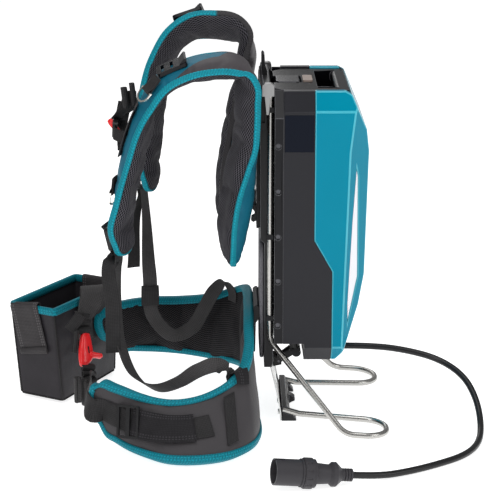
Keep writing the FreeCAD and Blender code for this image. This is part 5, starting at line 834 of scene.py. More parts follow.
def puffed(made, pinned, caps, spare):
    """Runs the cloth on a finished mesh; caps holds how far each point may move."""
    group = made.vertex_groups.new(name="seam")
    group.add([index for index, hold in enumerate(pinned) if hold], 1.0, "REPLACE")
    start = [vert.co.copy() for vert in made.data.vertices]
    cloth = made.modifiers.new("cloth", "CLOTH")
    settings = cloth.settings
    settings.vertex_group_mass = "seam"
    settings.use_pressure = True
    settings.uniform_pressure_force = CLOTH_PRESSURE
    settings.effector_weights.gravity = 0.0
    settings.shrink_min = -spare
    settings.quality = 6
    settings.tension_stiffness = 20.0
    settings.compression_stiffness = 20.0
    settings.bending_stiffness = 0.6
    settings.mass = 0.25
    cloth.point_cache.frame_start = 1
    cloth.point_cache.frame_end = CLOTH_FRAMES
    for number in range(1, CLOTH_FRAMES + 1):
        scene.frame_set(number)
    seen = made.evaluated_get(bpy.context.evaluated_depsgraph_get())
    places = [vert.co.copy() for vert in seen.data.vertices]
    made.modifiers.remove(cloth)
    scene.frame_set(1)
    most = 0.0
    for vert, home, place, cap in zip(made.data.vertices, start, places, caps):
        move = place - home
        if move.length > cap:
            move *= cap / move.length
        vert.co = home + move
        most = max(most, move.length)
    made.vertex_groups.clear()
    made.data.update()
    print(made.name, "moved by up to", round(most / MM, 1), "mm")


# %% Shoulder straps
SEAM_SPOTS = (0, OUTER_SPOTS - 1, OUTER_SPOTS, OUTER_SPOTS + 1, OUTER_SPOTS + INNER_SPOTS,
              OUTER_SPOTS + INNER_SPOTS + 1)
STRAP_CAPS = (1.2 * MM, 7.0 * MM)
BELT_CAPS = (1.0 * MM, 5.0 * MM)


def sewn_pad(name, rings, finishes, node, held, caps, spare):
    """A pad of two cloths over foam; held rings at each end stay still, caps are for the two faces."""
    shape, spots = loft(rings)
    outer = set(range(OUTER_SPOTS + 1)) | {OUTER_SPOTS + INNER_SPOTS + 1}
    for face in shape.faces:
        face.material_index = 0 if {spots[vert][1] for vert in face.verts} <= outer else 1
    shape.verts.index_update()
    pins, limits = [], []
    for vert, (index, k) in sorted(spots.items(), key=lambda item: item[0].index):
        pins.append(k in SEAM_SPOTS or index < held or index > len(rings) - 1 - held)
        limits.append(caps[0] if k < OUTER_SPOTS else caps[1])
    made = piece_from(shape, name, finishes, replaces=[node])
    puffed(made, pins, limits, spare)
    smoothed(made)


def shoulder_strap(side, rows, node, outside):
    frames = strap_frames(rows, STRAP_PARTS)
    rings = [ring_at(each, strap_section(each[4], each[5:8], full)) for each, full in with_tips(frames)]
    sewn_pad("strap_pad_" + side, rings, [outside, strap_mesh], node, 6, STRAP_CAPS, 0.04)
    tape_round("strap_binding_" + side, around_edge(frames), teal_tape)
    return frames


LEFT_FRAMES = shoulder_strap("left", LEFT_STRAP, "shoulder_pad_left", teal_satin)
RIGHT_FRAMES = shoulder_strap("right", RIGHT_STRAP, "shoulder_pad_right", far_satin)
print("strap steps", len(LEFT_FRAMES), len(RIGHT_FRAMES))

# %% [markdown]
# Fabric pads that are sewn to their neighbours, such as the hip belt, have the same build as the shoulder
# straps: satin outside, mesh towards the body, foam between. The belt is drawn by its top and bottom edges,
# because it flares out over the hips, and it is cut at the two seams beside the back pad.

# %% Hip belt lines
BELT_RIGHT = [
    (-101, -326, 132, -104, -317, 86), (-112, -312, 144, -118, -305, 66), (-135, -280, 147, -142, -274, 56),
    (-160, -235, 145, -168, -230, 46), (-173, -187, 142, -180, -185, 38), (-168, -135, 148, -174, -133, 31),
    (-145, -94, 166, -150, -92, 29), (-106, -71, 184, -108, -70, 34)]
BELT_BACK = [
    (-106, -71, 184, -108, -70, 34), (-60, -66.4, 190, -60, -66.4, 44), (0, -66.4, 191, 0, -66.4, 46),
    (60, -66.4, 189, 62, -66, 40), (100, -67, 178, 106, -60, 24)]
BELT_LEFT = [
    (100, -67, 178, 106, -60, 24), (145, -68, 153, 165, -53, 10), (176, -78, 129, 224, -65, 9),
    (195, -105, 106, 268, -95, 9), (212, -145, 90, 290, -145, 9), (222, -190, 86, 287, -198, 9),
    (217, -240, 95, 248, -246, 9), (204, -285, 108, 212, -282, 16), (195, -305, 112, 196, -301, 24),
    (191, -315, 104, 191, -311, 42)]
BELT_ROWS = BELT_RIGHT + BELT_BACK[1:] + BELT_LEFT[1:]
BELT_PARTS = 9
BELT_CROWN = 2.6 * MM
BELT_SWELL = 5.0 * MM


def belt_frames(rows, parts):
    smooth = curve_between(rows, parts)
    frames = []
    for index, row in enumerate(smooth):
        top, bottom = Vector(row[0:3]) * MM, Vector(row[3:6]) * MM
        back = smooth[max(index - 1, 0)]
        ahead = smooth[min(index + 1, len(smooth) - 1)]
        along = Vector([ahead[k] + ahead[k + 3] - back[k] - back[k + 3] for k in range(3)]).normalized()
        down = (bottom - top).normalized()
        across = along.cross(down).normalized()
        frames.append(((top + bottom) * 0.5, down, across, along, (bottom - top).length, 0.0, BELT_CROWN,
                       BELT_SWELL))
    return frames


BELT_FRAMES = belt_frames(BELT_ROWS, BELT_PARTS)


def belt_spot(row, share, lift):
    """A place on the belt: share 0 is its top edge, lift is outwards in millimetres."""
    here, down, normal, along, width = BELT_FRAMES[round(row * BELT_PARTS)][:5]
    return here + down * (width * (share - 0.5)) + normal * (lift * MM), down, normal, along


print("belt steps", len(BELT_FRAMES))

# %% [markdown]
# Where two pads meet, the stitching pulls both of them down to a shallow valley. The last steps of each pad
# lose their crown for that, and the free ends close in a round tip like the shoulder straps' ends.

# %% Hip belt
SEAM_STEPS = 5
LAST_STEP = len(BELT_FRAMES) - 1


def belt_pad(name, first, last, node):
    """The pad between two rows of the belt; it has a seam where it meets another pad, or else a tip."""
    start, end = first * BELT_PARTS, last * BELT_PARTS
    frames = BELT_FRAMES[start:end + 1]
    steps = with_tips(frames)
    tip = (len(steps) - len(frames)) // 2
    steps = steps[tip if start else 0:tip + len(frames) if end < LAST_STEP else len(steps)]
    rings = []
    for index, (each, full) in enumerate(steps):
        from_seam = min(index if start else SEAM_STEPS,
                        len(steps) - 1 - index if end < LAST_STEP else SEAM_STEPS)
        rise = min(1.0, from_seam / SEAM_STEPS) ** 0.5
        rings.append(ring_at(each, strap_section(each[4], (0.0, each[6] * rise, each[7] * rise), full)))
    sewn_pad(name, rings, [belt_satin, belt_mesh], node, 4, BELT_CAPS, 0.05)


BACK_START = len(BELT_RIGHT) - 1
LEFT_START = BACK_START + len(BELT_BACK) - 1
belt_pad("hip_pad_right", 0, BACK_START, "hip_wing_right")
belt_pad("back_pad", BACK_START, LEFT_START, "lumbar_pad")
belt_pad("hip_pad_left", LEFT_START, len(BELT_ROWS) - 1, "hip_wing_left")
tape_round("belt_binding", around_edge(BELT_FRAMES), belt_tape, 7.2 * MM, 3.0 * MM, 9 * MM)

# %% [markdown]
# Webbing is a flat woven band, two millimetres thick, with soft edges. Every strand is one ribbon swept along
# its line, and a strand that is sewn down follows the pad under it. Rolled ends are the same ribbon wound in
# a spiral, because that is how the real ones are stowed.

# %% Webbing helpers
SEAT_GAP = 0.3
WEB_WIDTH = 25.0
WEB_THICKNESS = 2.0
STRAP_THICKNESS = 18.0
BELT_THICKNESS = 14.0
BELT_CURVE_ROOM = 1.3
WEB_ACROSS = (-1.0, -0.97, -0.86, -0.5, 0.0, 0.5, 0.86, 0.97, 1.0)


def outer_lift(thickness, extra=0.0):
    return thickness / 2 + SEAT_GAP + WEB_THICKNESS / 2 + extra


def web_outline(width, curl):
    """Across and outwards: flat faces, rounded edges, and a little curl if the strand is free."""
    fullness = {1.0: 0.0, 0.97: 0.8}
    half_thick = WEB_THICKNESS * MM / 2
    upper = [(a, half_thick * fullness.get(abs(a), 1.0)) for a in WEB_ACROSS]
    lower = [(a, -half_thick * fullness.get(abs(a), 1.0)) for a in WEB_ACROSS[-2:0:-1]]
    return [(a * width / 2, b + curl * (1 - a * a)) for a, b in upper + lower]


def ribbon(name, frames, finish, node, lift=0.0, across=0.0, width=None, curl=0.0):
    rings = []
    for here, wide, normal, along, own in [each[:5] for each in frames]:
        at = here + wide * (across * MM) + normal * (lift * MM)
        outline = web_outline((width or own / MM) * MM, curl * MM)
        rings.append([at + wide * a + normal * b for a, b in outline])
    lofted(name, rings, finish, replaces=[node])


def rows_of(places, wide, width):
    return [tuple(place / MM) + tuple(wide) + (width,) for place in places]


def fold(name, path, origin, wide, along, width, finish, node):
    """Webbing that runs in the plane square to wide: path holds (along, outwards) in millimetres."""
    normal = wide.cross(along)
    frames = []
    for index, (a, b) in enumerate(path):
        back, ahead = path[max(index - 1, 0)], path[min(index + 1, len(path) - 1)]
        run = (along * (ahead[0] - back[0]) + normal * (ahead[1] - back[1])).normalized()
        here = origin + along * (a * MM) + normal * (b * MM)
        frames.append((here, wide, run.cross(wide).normalized(), run, width * MM))
    ribbon(name, frames, finish, node)


def spiral(first, last, turns, steps=14, start=0.0):
    """A spiral path from its inner radius to its outer one."""
    path = []
    for k in range(int(turns * steps) + 1):
        t = k / (turns * steps)
        angle = math.radians(start) + 2 * math.pi * turns * t
        radius = first + (last - first) * t
        path.append((radius * math.cos(angle), radius * math.sin(angle)))
    return path


# %% [markdown]
# On each shoulder strap two strips are sewn down, one above and one below, and four rolls of webbing hold the
# bars of the steel rings. The rolls are made round the rings' own bars, so that they still hold them when the
# rings swing.

# %% Sewn strips and ring rolls
CAD_STEP = STRAP_PARTS // 2
UPPER_STRIP = (28, 32)
LOWER_STRIP = (38, 40)
RING_WIRE_RADIUS = 1.6
RING_HALF_WIDTH = 13.0
RING_TAIL = 28.0
UPPER_RING_FRAME = 27
LOWER_RING_FRAME = 35
UPPER_RING_STANDS = 1.8
UPPER_RING_TURN = math.radians(30.0)
strip_lift = outer_lift(STRAP_THICKNESS)
ring_lift = STRAP_THICKNESS / 2 + SEAT_GAP + RING_WIRE_RADIUS + WEB_THICKNESS


def seat_on(frames, index, lift, across=0.0):
    """A fitting's place on a strap: its middle, the width direction and the way down the strap."""
    here, wide, normal, along = frames[index * CAD_STEP][:4]
    return here + wide * (across * MM) + normal * (lift * MM), wide, along


def ring_place(side, frames, which):
    index = UPPER_RING_FRAME if which == "upper" else LOWER_RING_FRAME
    across = {("left", "upper"): 21.0, ("left", "lower"): 10.0}.get((side, which), -8.0)
    origin, wide, along = seat_on(frames, index, ring_lift, across)
    if (side, which) == ("left", "upper"):
        here, over, normal = frames[index * CAD_STEP][:3]
        wide = over * math.cos(UPPER_RING_TURN) - normal * math.sin(UPPER_RING_TURN)
        upright = normal * math.cos(UPPER_RING_TURN) + over * math.sin(UPPER_RING_TURN)
        origin = here + over * (across * MM) + upright * ((ring_lift + UPPER_RING_STANDS) * MM)
    back = along * -1
    return origin, wide, (back - wide * back.dot(wide)).normalized()


bar_run = RING_WIRE_RADIUS + WEB_THICKNESS / 2 + 0.05
roll_width = 2 * (RING_HALF_WIDTH - RING_WIRE_RADIUS - 2)
ring_fold = [(RING_TAIL, -bar_run), (16.0, -bar_run), (6.0, -bar_run)]
for turn in range(0, 181, 15):
    ring_fold.append((-bar_run * math.sin(math.radians(turn)), -bar_run * math.cos(math.radians(turn))))
ring_fold += [(4.0, bar_run - 0.5), (9.0, -0.2), (15.0, -0.55), (RING_TAIL - 3, -0.55)]
for side, frames, across in (("left", LEFT_FRAMES, 11.0), ("right", RIGHT_FRAMES, -4.0)):
    for part, span, shift in (("upper", UPPER_STRIP, across), ("lower", LOWER_STRIP, 0.0)):
        run = frames[span[0] * CAD_STEP:span[1] * CAD_STEP + 1]
        ribbon(f"{part}_strip_{side}", run, pale_web, "strap_strips", strip_lift, shift, WEB_WIDTH)
        origin, wide, along = ring_place(side, frames, part)
        fold(f"{part}_ring_roll_{side}", ring_fold, origin, wide, along, roll_width, web_cloth,
             "strap_strips")
print("strips and rolls done")

# %% [markdown]
# Each strap's long webbing leaves its ladder lock as two strands: the load strand goes down to a seam inside
# the hip belt, and the free end hangs beside it. Both start in the lock's own direction and then hang in easy
# bends. The far pair also passes through a small sewn box that keeps it together.

# %% Long webbing of the shoulder straps
LOCK_FRAME = 39
LOCK_HALF_LENGTH = 20.0
LEFT_LOAD = [
    (90, -283, 278, 0.93, -0.37, 0, 25), (98, -284, 206, 0.9, -0.42, 0, 25),
    (111, -278, 144, 0.8, -0.55, 0.2, 25), (134, -255, 100, 0.65, -0.6, 0.45, 25),
    (158, -222, 88, 0.55, -0.4, 0.7, 25), (178, -180, 106, 0.4, -0.1, 0.9, 25),
    (184, -150, 127, 0, 0.45, 0.85, 25), (178, -118, 134, -0.4, 0.8, 0.3, 25)]
LEFT_TAIL = [
    (104, -297, 284, 0.6, -0.8, 0, 25), (118, -292, 222, 0.25, -0.97, 0, 25),
    (122, -292, 137, 0.2, -0.98, 0, 25)]
RIGHT_LOAD = [
    (-92, -243, 318, 0.8, -0.5, 0, 25), (-95, -240, 230, 0.4, -0.9, 0, 25),
    (-97, -238, 196, 0.14, -0.99, 0, 25), (-97, -238, 170, 0.14, -0.99, 0, 25),
    (-97, -237, 144, 0.14, -0.99, 0, 25), (-102, -224, 116, 0.1, -0.93, -0.36, 25),
    (-110, -196, 92, 0.05, -0.5, -0.85, 25), (-118, -165, 104, 0.1, 0.6, -0.8, 25),
    (-122, -142, 140, 0.2, 0.93, -0.3, 25), (-122, -124, 172, 0.4, 0.9, -0.2, 25),
    (-126, -108, 186, 0.7, 0.6, 0, 25)]
RIGHT_TAIL = [(-86, -258, 330, 0.8, -0.5, 0, 25), (-86, -266, 225, 0.5, -0.85, 0, 25)]
LEFT_SEAM, RIGHT_SEAM = 40 / 3, 19 / 3
LOAD_STANDS, FREE_STANDS = 2.5, 8.6


def lock_rows(frames, extra):
    lift = STRAP_THICKNESS / 2 + WEB_THICKNESS + 2 * SEAT_GAP + extra
    origin, wide, along = seat_on(frames, LOCK_FRAME, lift)
    reaches = (LOCK_HALF_LENGTH + 2 * SEAT_GAP, LOCK_HALF_LENGTH + 12)
    return rows_of([origin + along * (reach * MM) for reach in reaches], wide, WEB_WIDTH)


def seam_rows(row, places, width=WEB_WIDTH):
    """Rows over the belt at one of its steps: each place is a share of its height and a lift."""
    rows = []
    for share, lift in places:
        here, down, normal, along = belt_spot(row, share, lift)
        rows += rows_of([here], along, width)
    return rows


def strand(name, rows, finish, node, curl=0.0, parts=8):
    ribbon(name, strap_frames(rows, parts), finish, node, curl=curl)


left_sewn = -outer_lift(BELT_THICKNESS, 5 * BELT_CURVE_ROOM)
right_sewn = -outer_lift(BELT_THICKNESS, 2 * BELT_CURVE_ROOM)
left_load = lock_rows(LEFT_FRAMES, LOAD_STANDS) + LEFT_LOAD
left_load += seam_rows(LEFT_SEAM, [(0.04, left_sewn), (0.14, left_sewn)])
left_free = lock_rows(LEFT_FRAMES, FREE_STANDS) + LEFT_TAIL
right_load = lock_rows(RIGHT_FRAMES, LOAD_STANDS) + RIGHT_LOAD
right_load += seam_rows(RIGHT_SEAM, [(0.04, right_sewn), (0.16, right_sewn)])
right_free = lock_rows(RIGHT_FRAMES, FREE_STANDS) + RIGHT_TAIL
strand("load_strand_left", left_load, pale_web, "strap_webbing_left", 0.8)
strand("free_strand_left", left_free, web_cloth, "strap_webbing_left", 0.8)
strand("load_strand_right", right_load, pale_web, "strap_webbing_right")
strand("free_strand_right", right_free, web_cloth, "strap_webbing_right", 0.8)

# %% Sewn box round the far webbing
KEEPER_PLACE = Vector((-97, -238, 170)) * MM
KEEPER_TURN = math.radians(8.0)
KEEPER_HALF_WIDTH, KEEPER_HALF_DEPTH = 15.0, 2.8
KEEPER_ROWS = ((-18, 0.0), (-17.6, 0.5), (-6, 0.9), (6, 0.9), (17.6, 0.5), (18, 0.0), (17.6, -1.5),
               (-17.6, -1.5), (-18, 0.0))
keeper_wide = Vector((-math.sin(KEEPER_TURN), math.cos(KEEPER_TURN), 0.0))
keeper_out = Vector((math.cos(KEEPER_TURN), math.sin(KEEPER_TURN), 0.0))
keeper_rings = []
for z, grow in KEEPER_ROWS:
    ring = []
    for a, b in round_spots(24, 0.25, 0.5):
        across = keeper_wide * ((KEEPER_HALF_WIDTH + grow) * a * MM)
        outwards = keeper_out * ((KEEPER_HALF_DEPTH + grow) * b * MM)
        ring.append(KEEPER_PLACE + across + outwards + Vector((0, 0, z * MM)))
    keeper_rings.append(ring)
lofted("webbing_box", keeper_rings, web_cloth, replaces=["strap_webbing_right"], loop=True)
print("long webbing done")

# %% [markdown]
# A chest strap joins the two shoulder straps: a short tail from each side, and the buckle between them. Its
# spare length is rolled up and hangs beside each tail.

# %% Chest webbing
CHEST_FRAME = 31
CHEST_MIDDLE = Vector((34, -286, 503))
CHEST_ALONG = Vector((-1, 0.03, 0.12)).normalized()
CHEST_WIDTH = 20.0
chest_reach = 24 + SEAT_GAP
chest_lift = outer_lift(STRAP_THICKNESS, WEB_THICKNESS + 1.5)
chest_up = (0.0, 0.05, 1.0)
left_seat, left_wide, left_along = seat_on(LEFT_FRAMES, CHEST_FRAME, chest_lift, 2.0)
right_seat, right_wide, right_along = seat_on(RIGHT_FRAMES, CHEST_FRAME, chest_lift, -2.0)
left_end = (CHEST_MIDDLE - CHEST_ALONG * chest_reach) * MM
right_end = (CHEST_MIDDLE + CHEST_ALONG * chest_reach) * MM
step_in = CHEST_ALONG * (12 * MM)
left_rows = rows_of([left_seat + left_wide * 0.010, left_seat - left_wide * 0.012], left_along * -1,
                    CHEST_WIDTH)
left_rows += rows_of([left_end - step_in, left_end], chest_up, CHEST_WIDTH)
right_rows = rows_of([right_end, right_end + step_in], chest_up, CHEST_WIDTH)
right_rows += rows_of([right_seat + right_wide * 0.012, right_seat - right_wide * 0.010], right_along * -1,
                      CHEST_WIDTH)
strand("chest_tail_left", left_rows, web_cloth, "chest_webbing")
strand("chest_tail_right", right_rows, web_cloth, "chest_webbing")

# %% [markdown]
# The belt's webbing starts on the left wing, where it is sewn down, runs free to the waist buckle, and goes
# on from there as the wide band over to the far wing. The spare length on the left is rolled up twice. A
# short loop on the wing and the strap that carries the pouch belong to it.

# %% Belt webbing
WAIST_WEB_WIDTH = 38.0
WAIST_MIDDLE = Vector((31, -345, 112)) * MM
WAIST_ALONG = Vector((-0.44, -0.12, 0.88)).normalized()
WAIST_FACE = Vector((0.75, 0.60, 0.26))
waist_wide = WAIST_ALONG.cross(WAIST_FACE).normalized()
waist_out = waist_wide.cross(WAIST_ALONG)
WAIST_HALF = 30.0
LEFT_WAIST_LINE = [
    (208, -321, 66, 0.3, -0.1, -0.95, 38), (190, -333, 76, 0.2, -0.1, -0.97, 34),
    (150, -332, 84, 0.1, -0.1, -1, 28), (112, -331, 83, 0.05, 0, -1, 25),
    (84, -333, 80, 0.05, 0.05, -1, 25)]
RIGHT_BAND_LINE = [
    (0, -343, 174, 0.5, -0.85, 0.1, 34), (-18, -335, 190, 0.3, -0.95, 0.05, 40),
    (-40, -334, 203, 0.1, -1, 0, 44), (-60, -338, 198, 0.4, -0.9, 0, 44),
    (-69, -345, 178, 0.75, -0.65, 0, 44)]
belt_lift = outer_lift(BELT_THICKNESS, BELT_CURVE_ROOM)


def belt_rows(first, last, width, lift, step=1):
    rows = []
    for index in range(round(first * BELT_PARTS), round(last * BELT_PARTS) + step, step):
        here, down, normal, along = belt_spot(index / BELT_PARTS, 0.5, lift)
        rows += rows_of([here], down, width)
    return rows


def waist_spot(a, b):
    return WAIST_MIDDLE + waist_wide * (a * MM) + WAIST_ALONG * (b * MM)


left_line = belt_rows(44 / 3, 55 / 3, WAIST_WEB_WIDTH, belt_lift, 3)
here, down, normal, along = belt_spot(55 / 3, 0.5, belt_lift)
left_line += rows_of([here + along * 0.012], down, WAIST_WEB_WIDTH) + LEFT_WAIST_LINE
left_line += rows_of([waist_spot(0, -WAIST_HALF - 10), waist_spot(0, -WAIST_HALF - SEAT_GAP)],
                     waist_wide * -1, WEB_WIDTH)
strand("belt_strand_left", left_line, web_cloth, "belt_webbing_left", parts=5)

loop_run = []
for step in range(9):
    here, down, normal, along = belt_spot(14.0, 0.16 + 0.68 * step / 8, belt_lift)
    loop_run.append((here, along, normal, down, 22 * MM))
ribbon("belt_loop", loop_run, web_cloth, "belt_webbing_left")
UPRIGHT = Vector((0, 0, 1))
TO_SIDE = Vector((1, 0, 0))
for number, place in enumerate(((92, -353.8, 62), (80, -343.0, 53)), 1):
    fold(f"webbing_roll_{number}", spiral(1.8, 7.0, 1.9, start=40.0 * number), Vector(place) * MM, UPRIGHT,
         TO_SIDE, 45.0, pale_web, "belt_webbing_left")
print("left belt webbing done")

# %% [markdown]
# Where webbing goes through a ladder it is bunched into short humps, and its spare end is rolled or hangs
# out. The humps are one ribbon again, bent into half waves, and a sewn patch is a short ribbon with a
# stitched edge.

# %% Bunched webbing at the buckles
HUMP_STEPS = 8
CHEST_LINK = [(54, -262, 566, 0, 1, 0, 24), (53, -263, 548, 0, 1, 0, 24), (45, -274, 531, 0, 0.95, 0.3, 20),
              (28, -286, 514, 0, 0.95, 0.3, 20)]
WAIST_TAIL = [(20, -351, 172, 0.2, 0.72, -0.66, 20), (26, -360, 161, 0.2, 0.72, -0.66, 20),
              (30, -372, 147, 0.2, 0.76, -0.62, 19)]
SEAM_PATCH = [(0.13, -9.6), (0.04, -10.2), (-0.035, -7.0), (-0.055, 0.0), (-0.035, 7.0), (0.04, 10.4),
              (0.15, 10.6)]


def humps(name, origin, along, wide, length, count, height, width, node):
    path = []
    for k in range(count * HUMP_STEPS + 1):
        t = k / (count * HUMP_STEPS)
        path.append((length * t, height * abs(math.sin(math.pi * count * t)) ** 0.7))
    fold(name, path, origin, wide, along, width, web_cloth, node)


humps("waist_bunch_upper", waist_spot(0, WAIST_HALF - 3), WAIST_ALONG, waist_wide, 40.0, 3, 6.0, 27.0,
      "belt_webbing_right")
humps("waist_bunch_lower", waist_spot(0, 5 - WAIST_HALF), WAIST_ALONG * -1, waist_wide * -1, 34.0, 3, 6.0,
      26.0, "belt_webbing_left")
strand("waist_tail", WAIST_TAIL, web_cloth, "belt_webbing_right")
fold("webbing_roll_3", spiral(1.4, 4.4, 1.8), Vector((36, -361, 129)) * MM, Vector((0, 0.1, 1)).normalized(),
     TO_SIDE, 40.0, web_cloth, "belt_webbing_right")
for number, (place, last, tall) in enumerate((((60, -269, 556), 6.2, 34), ((64, -255.5, 562), 5.0, 38)), 1):
    fold(f"chest_roll_{number}", spiral(1.3, last, 1.7), Vector(place) * MM,
         Vector((0, -0.12, 1)).normalized(), TO_SIDE, tall, web_cloth, "chest_webbing")
strand("chest_link", CHEST_LINK, web_cloth, "chest_webbing")
humps("chest_bunch_upper", Vector((24, -271, 541)) * MM, Vector((0, -0.2, -1)).normalized(),
      Vector((0, 1, -0.2)).normalized(), 44.0, 3, 5.0, 22.0, "chest_webbing")
humps("chest_bunch_lower", Vector((26, -277, 497)) * MM, Vector((0, 0.05, -1)).normalized(),
      Vector((0, 1, 0.05)).normalized(), 36.0, 4, 4.0, 18.0, "chest_webbing")
strand("seam_patch", seam_rows(LEFT_SEAM, SEAM_PATCH, 27.0), edge_web, "strap_webbing_left", parts=4)
strand("belt_patch", belt_rows(15.2, 17.2, 48.0, belt_lift + 2.6, 3), edge_web, "belt_webbing_left", parts=3)
print("bunches and patches done")

# %% [markdown]
# The pouch is a stiff fabric box that hangs on the belt. Its shell is one loft: up the outside from the floor
# panel to the rim, over the rim and down the inside. The walls give a little, so each height of the loft is
# pushed in or out by a few millimetres, with small creases low down where the weight sits.

# %% Pouch shell
POUCH_LENGTH, POUCH_DEPTH, POUCH_HEIGHT = 199.0, 92.0, 168.0
POUCH_BOTTOM = 6.0
POUCH_TAPER = 5.0
POUCH_WALL = 2.5
POUCH_LEAN = 10.0
pouch_turn = math.radians(149.7)
pouch_along = Vector((math.cos(pouch_turn), math.sin(pouch_turn), 0.0))
pouch_away = Vector((-math.sin(pouch_turn), math.cos(pouch_turn), 0.0))
pouch_top = POUCH_BOTTOM + POUCH_HEIGHT
POUCH_OUTER_CORNER, POUCH_INNER_CORNER = 6.0, 5.0
SIDE_SPOTS = 14
CORNER_SPOTS = 4


def pouch_spot(u, v, z):
    """A place on the pouch; low down, its near end is as deep as the rim is and leans towards the belt."""
    low = max(0.0, 1 - (z - POUCH_BOTTOM) / POUCH_HEIGHT) * (1 - u / POUCH_LENGTH)
    v = POUCH_DEPTH / 2 + (v - POUCH_DEPTH / 2) * (1 + 2 * POUCH_TAPER * low / POUCH_DEPTH)
    return (Vector((0.0, -400.0 + POUCH_LEAN * low, z)) + pouch_along * u + pouch_away * v) * MM


def pouch_outline(inset, corner):
    """Points round the pouch: place (u, v), facing (u, v), the wall's number and how far along it each is."""
    u0, v0, u1, v1 = inset, inset, POUCH_LENGTH - inset, POUCH_DEPTH - inset
    walls = [((u0 + corner, v0), (u1 - corner, v0), (0, -1)), ((u1, v0 + corner), (u1, v1 - corner), (1, 0)),
             ((u1 - corner, v1), (u0 + corner, v1), (0, 1)), ((u0, v1 - corner), (u0, v0 + corner), (-1, 0))]
    points = []
    for number, (first, last, facing) in enumerate(walls):
        for k in range(SIDE_SPOTS):
            s = k / (SIDE_SPOTS - 1)
            place = (first[0] + (last[0] - first[0]) * s, first[1] + (last[1] - first[1]) * s)
            points.append((place, facing, number, s))
        after = walls[(number + 1) % 4][2]
        centre = (last[0] - facing[0] * corner, last[1] - facing[1] * corner)
        for k in range(1, CORNER_SPOTS):
            angle = math.pi / 2 * k / CORNER_SPOTS
            way = (facing[0] * math.cos(angle) + after[0] * math.sin(angle),
                   facing[1] * math.cos(angle) + after[1] * math.sin(angle))
            points.append(((centre[0] + way[0] * corner, centre[1] + way[1] * corner), way, number, 1.0))
    return points


def wall_push(number, s, t):
    """How far the cloth of a wall stands out at a place along it and a height, both from 0 to 1."""
    fall = math.sin(math.pi * s) ** 0.8
    belly = math.exp(-((t - 0.28) / 0.2) ** 2)
    hollow = math.exp(-((t - 0.72) / 0.2) ** 2)
    crease = noise_at(Vector((s * 4.0 + number * 7.0, t * 11.0 + s * 2.0, number * 3.1))) * (1.0 - t) * 1.6
    if number in (0, 2):
        return fall * (2.2 * belly - 2.6 * hollow) + crease * min(1.0, 4 * fall)
    return min(0.0, fall * (0.4 * belly - 1.6 * hollow) + crease * 0.6)


def pouch_ring(z, inset, corner, t=None):
    """One ring of the pouch's loft; where t is given, the walls give as they do at that height."""
    ring = []
    for (u, v), way, number, s in pouch_outline(inset, corner):
        push = 0.0
        if t is not None:
            push = wall_push(number, s, t) * min(1.0, t * 8) * min(1.0, (1 - t) * 7)
        ring.append(pouch_spot(u + way[0] * push, v + way[1] * push, POUCH_BOTTOM + z))
    return ring


pouch_rings = []
for z, inset in ((0.0, 26.0), (0.0, 8.0), (0.4, 3.4), (1.6, 1.2), (4.0, 0.0)):
    pouch_rings.append(pouch_ring(z, inset + POUCH_TAPER * (1 - z / POUCH_HEIGHT), POUCH_OUTER_CORNER))
for step in range(1, 25):
    t = step / 24
    pouch_rings.append(pouch_ring(4 + (POUCH_HEIGHT - 4) * t, POUCH_TAPER * (1 - t), POUCH_OUTER_CORNER, t))
for t in (1.0, 0.9, 0.7, 0.5, 0.3, 0.1, 0.03):
    inset = POUCH_WALL + POUCH_TAPER * (1 - t)
    pouch_rings.append(pouch_ring(POUCH_HEIGHT * t, inset, POUCH_INNER_CORNER, t))
pouch_rings.append(pouch_ring(3.0, 28.0, POUCH_INNER_CORNER))
smoothed(lofted("pouch_shell", pouch_rings, pouch_cloth, replaces=["pouch"]))
print("pouch rings", len(pouch_rings))

# %% [markdown]
# A folded tape closes the rim, and a thin piping covers each upright seam and the seam round the floor. Both
# are one small section carried along the edge.

# %% Pouch binding and piping
rim_section = [
    (2.3, -11.0), (2.6, -9.5), (2.2, -6.0), (2.6, -2.0), (1.6, 1.2), (-1.2, 2.0), (-4.2, 1.2),
    (-5.1, -2.0), (-4.7, -6.0), (-5.0, -10.5), (-2.6, -11.2)]
rim_points = pouch_outline(0.0, POUCH_OUTER_CORNER)
rim_rings = [[pouch_spot(u + way[0] * a, v + way[1] * a, pouch_top + b) for a, b in rim_section]
             for (u, v), way, number, s in rim_points + rim_points[:1]]
lofted("pouch_rim", rim_rings, belt_tape, replaces=["pouch_binding"], loop=True)


def piping(name, line, radius, loop=False):
    rings = [[place + side * (radius * MM * c) + up * (radius * MM * s) for c, s in round_spots(10)]
             for place, side, up in line]
    if loop:
        rings.append(rings[0])
    lofted(name, rings, web_cloth, loop=loop)


for number, (far, deep) in enumerate(((0, 0), (1, 0), (1, 1), (0, 1)), 1):
    line = []
    for step in range(9):
        t = 0.02 + 0.92 * step / 8
        a = POUCH_TAPER * (1 - t) + 1.6
        place = pouch_spot(POUCH_LENGTH - a if far else a, POUCH_DEPTH - a if deep else a,
                           POUCH_BOTTOM + POUCH_HEIGHT * t)
        line.append((place, pouch_along, pouch_away))
    piping(f"pouch_piping_{number}", line, 1.9)
floor_line = []
for (u, v), way, number, s in pouch_outline(POUCH_TAPER + 1.0, POUCH_OUTER_CORNER):
    outwards = pouch_along * way[0] + pouch_away * way[1]
    floor_line.append((pouch_spot(u, v, POUCH_BOTTOM + 1.4), outwards, UPRIGHT))
piping("pouch_floor_piping", floor_line, 1.7, loop=True)

# %% [markdown]
# A wide band is sewn over each short rim. It is tucked in on the inside, folds over the rim and hangs down
# outside, and its end is turned up once and sewn.

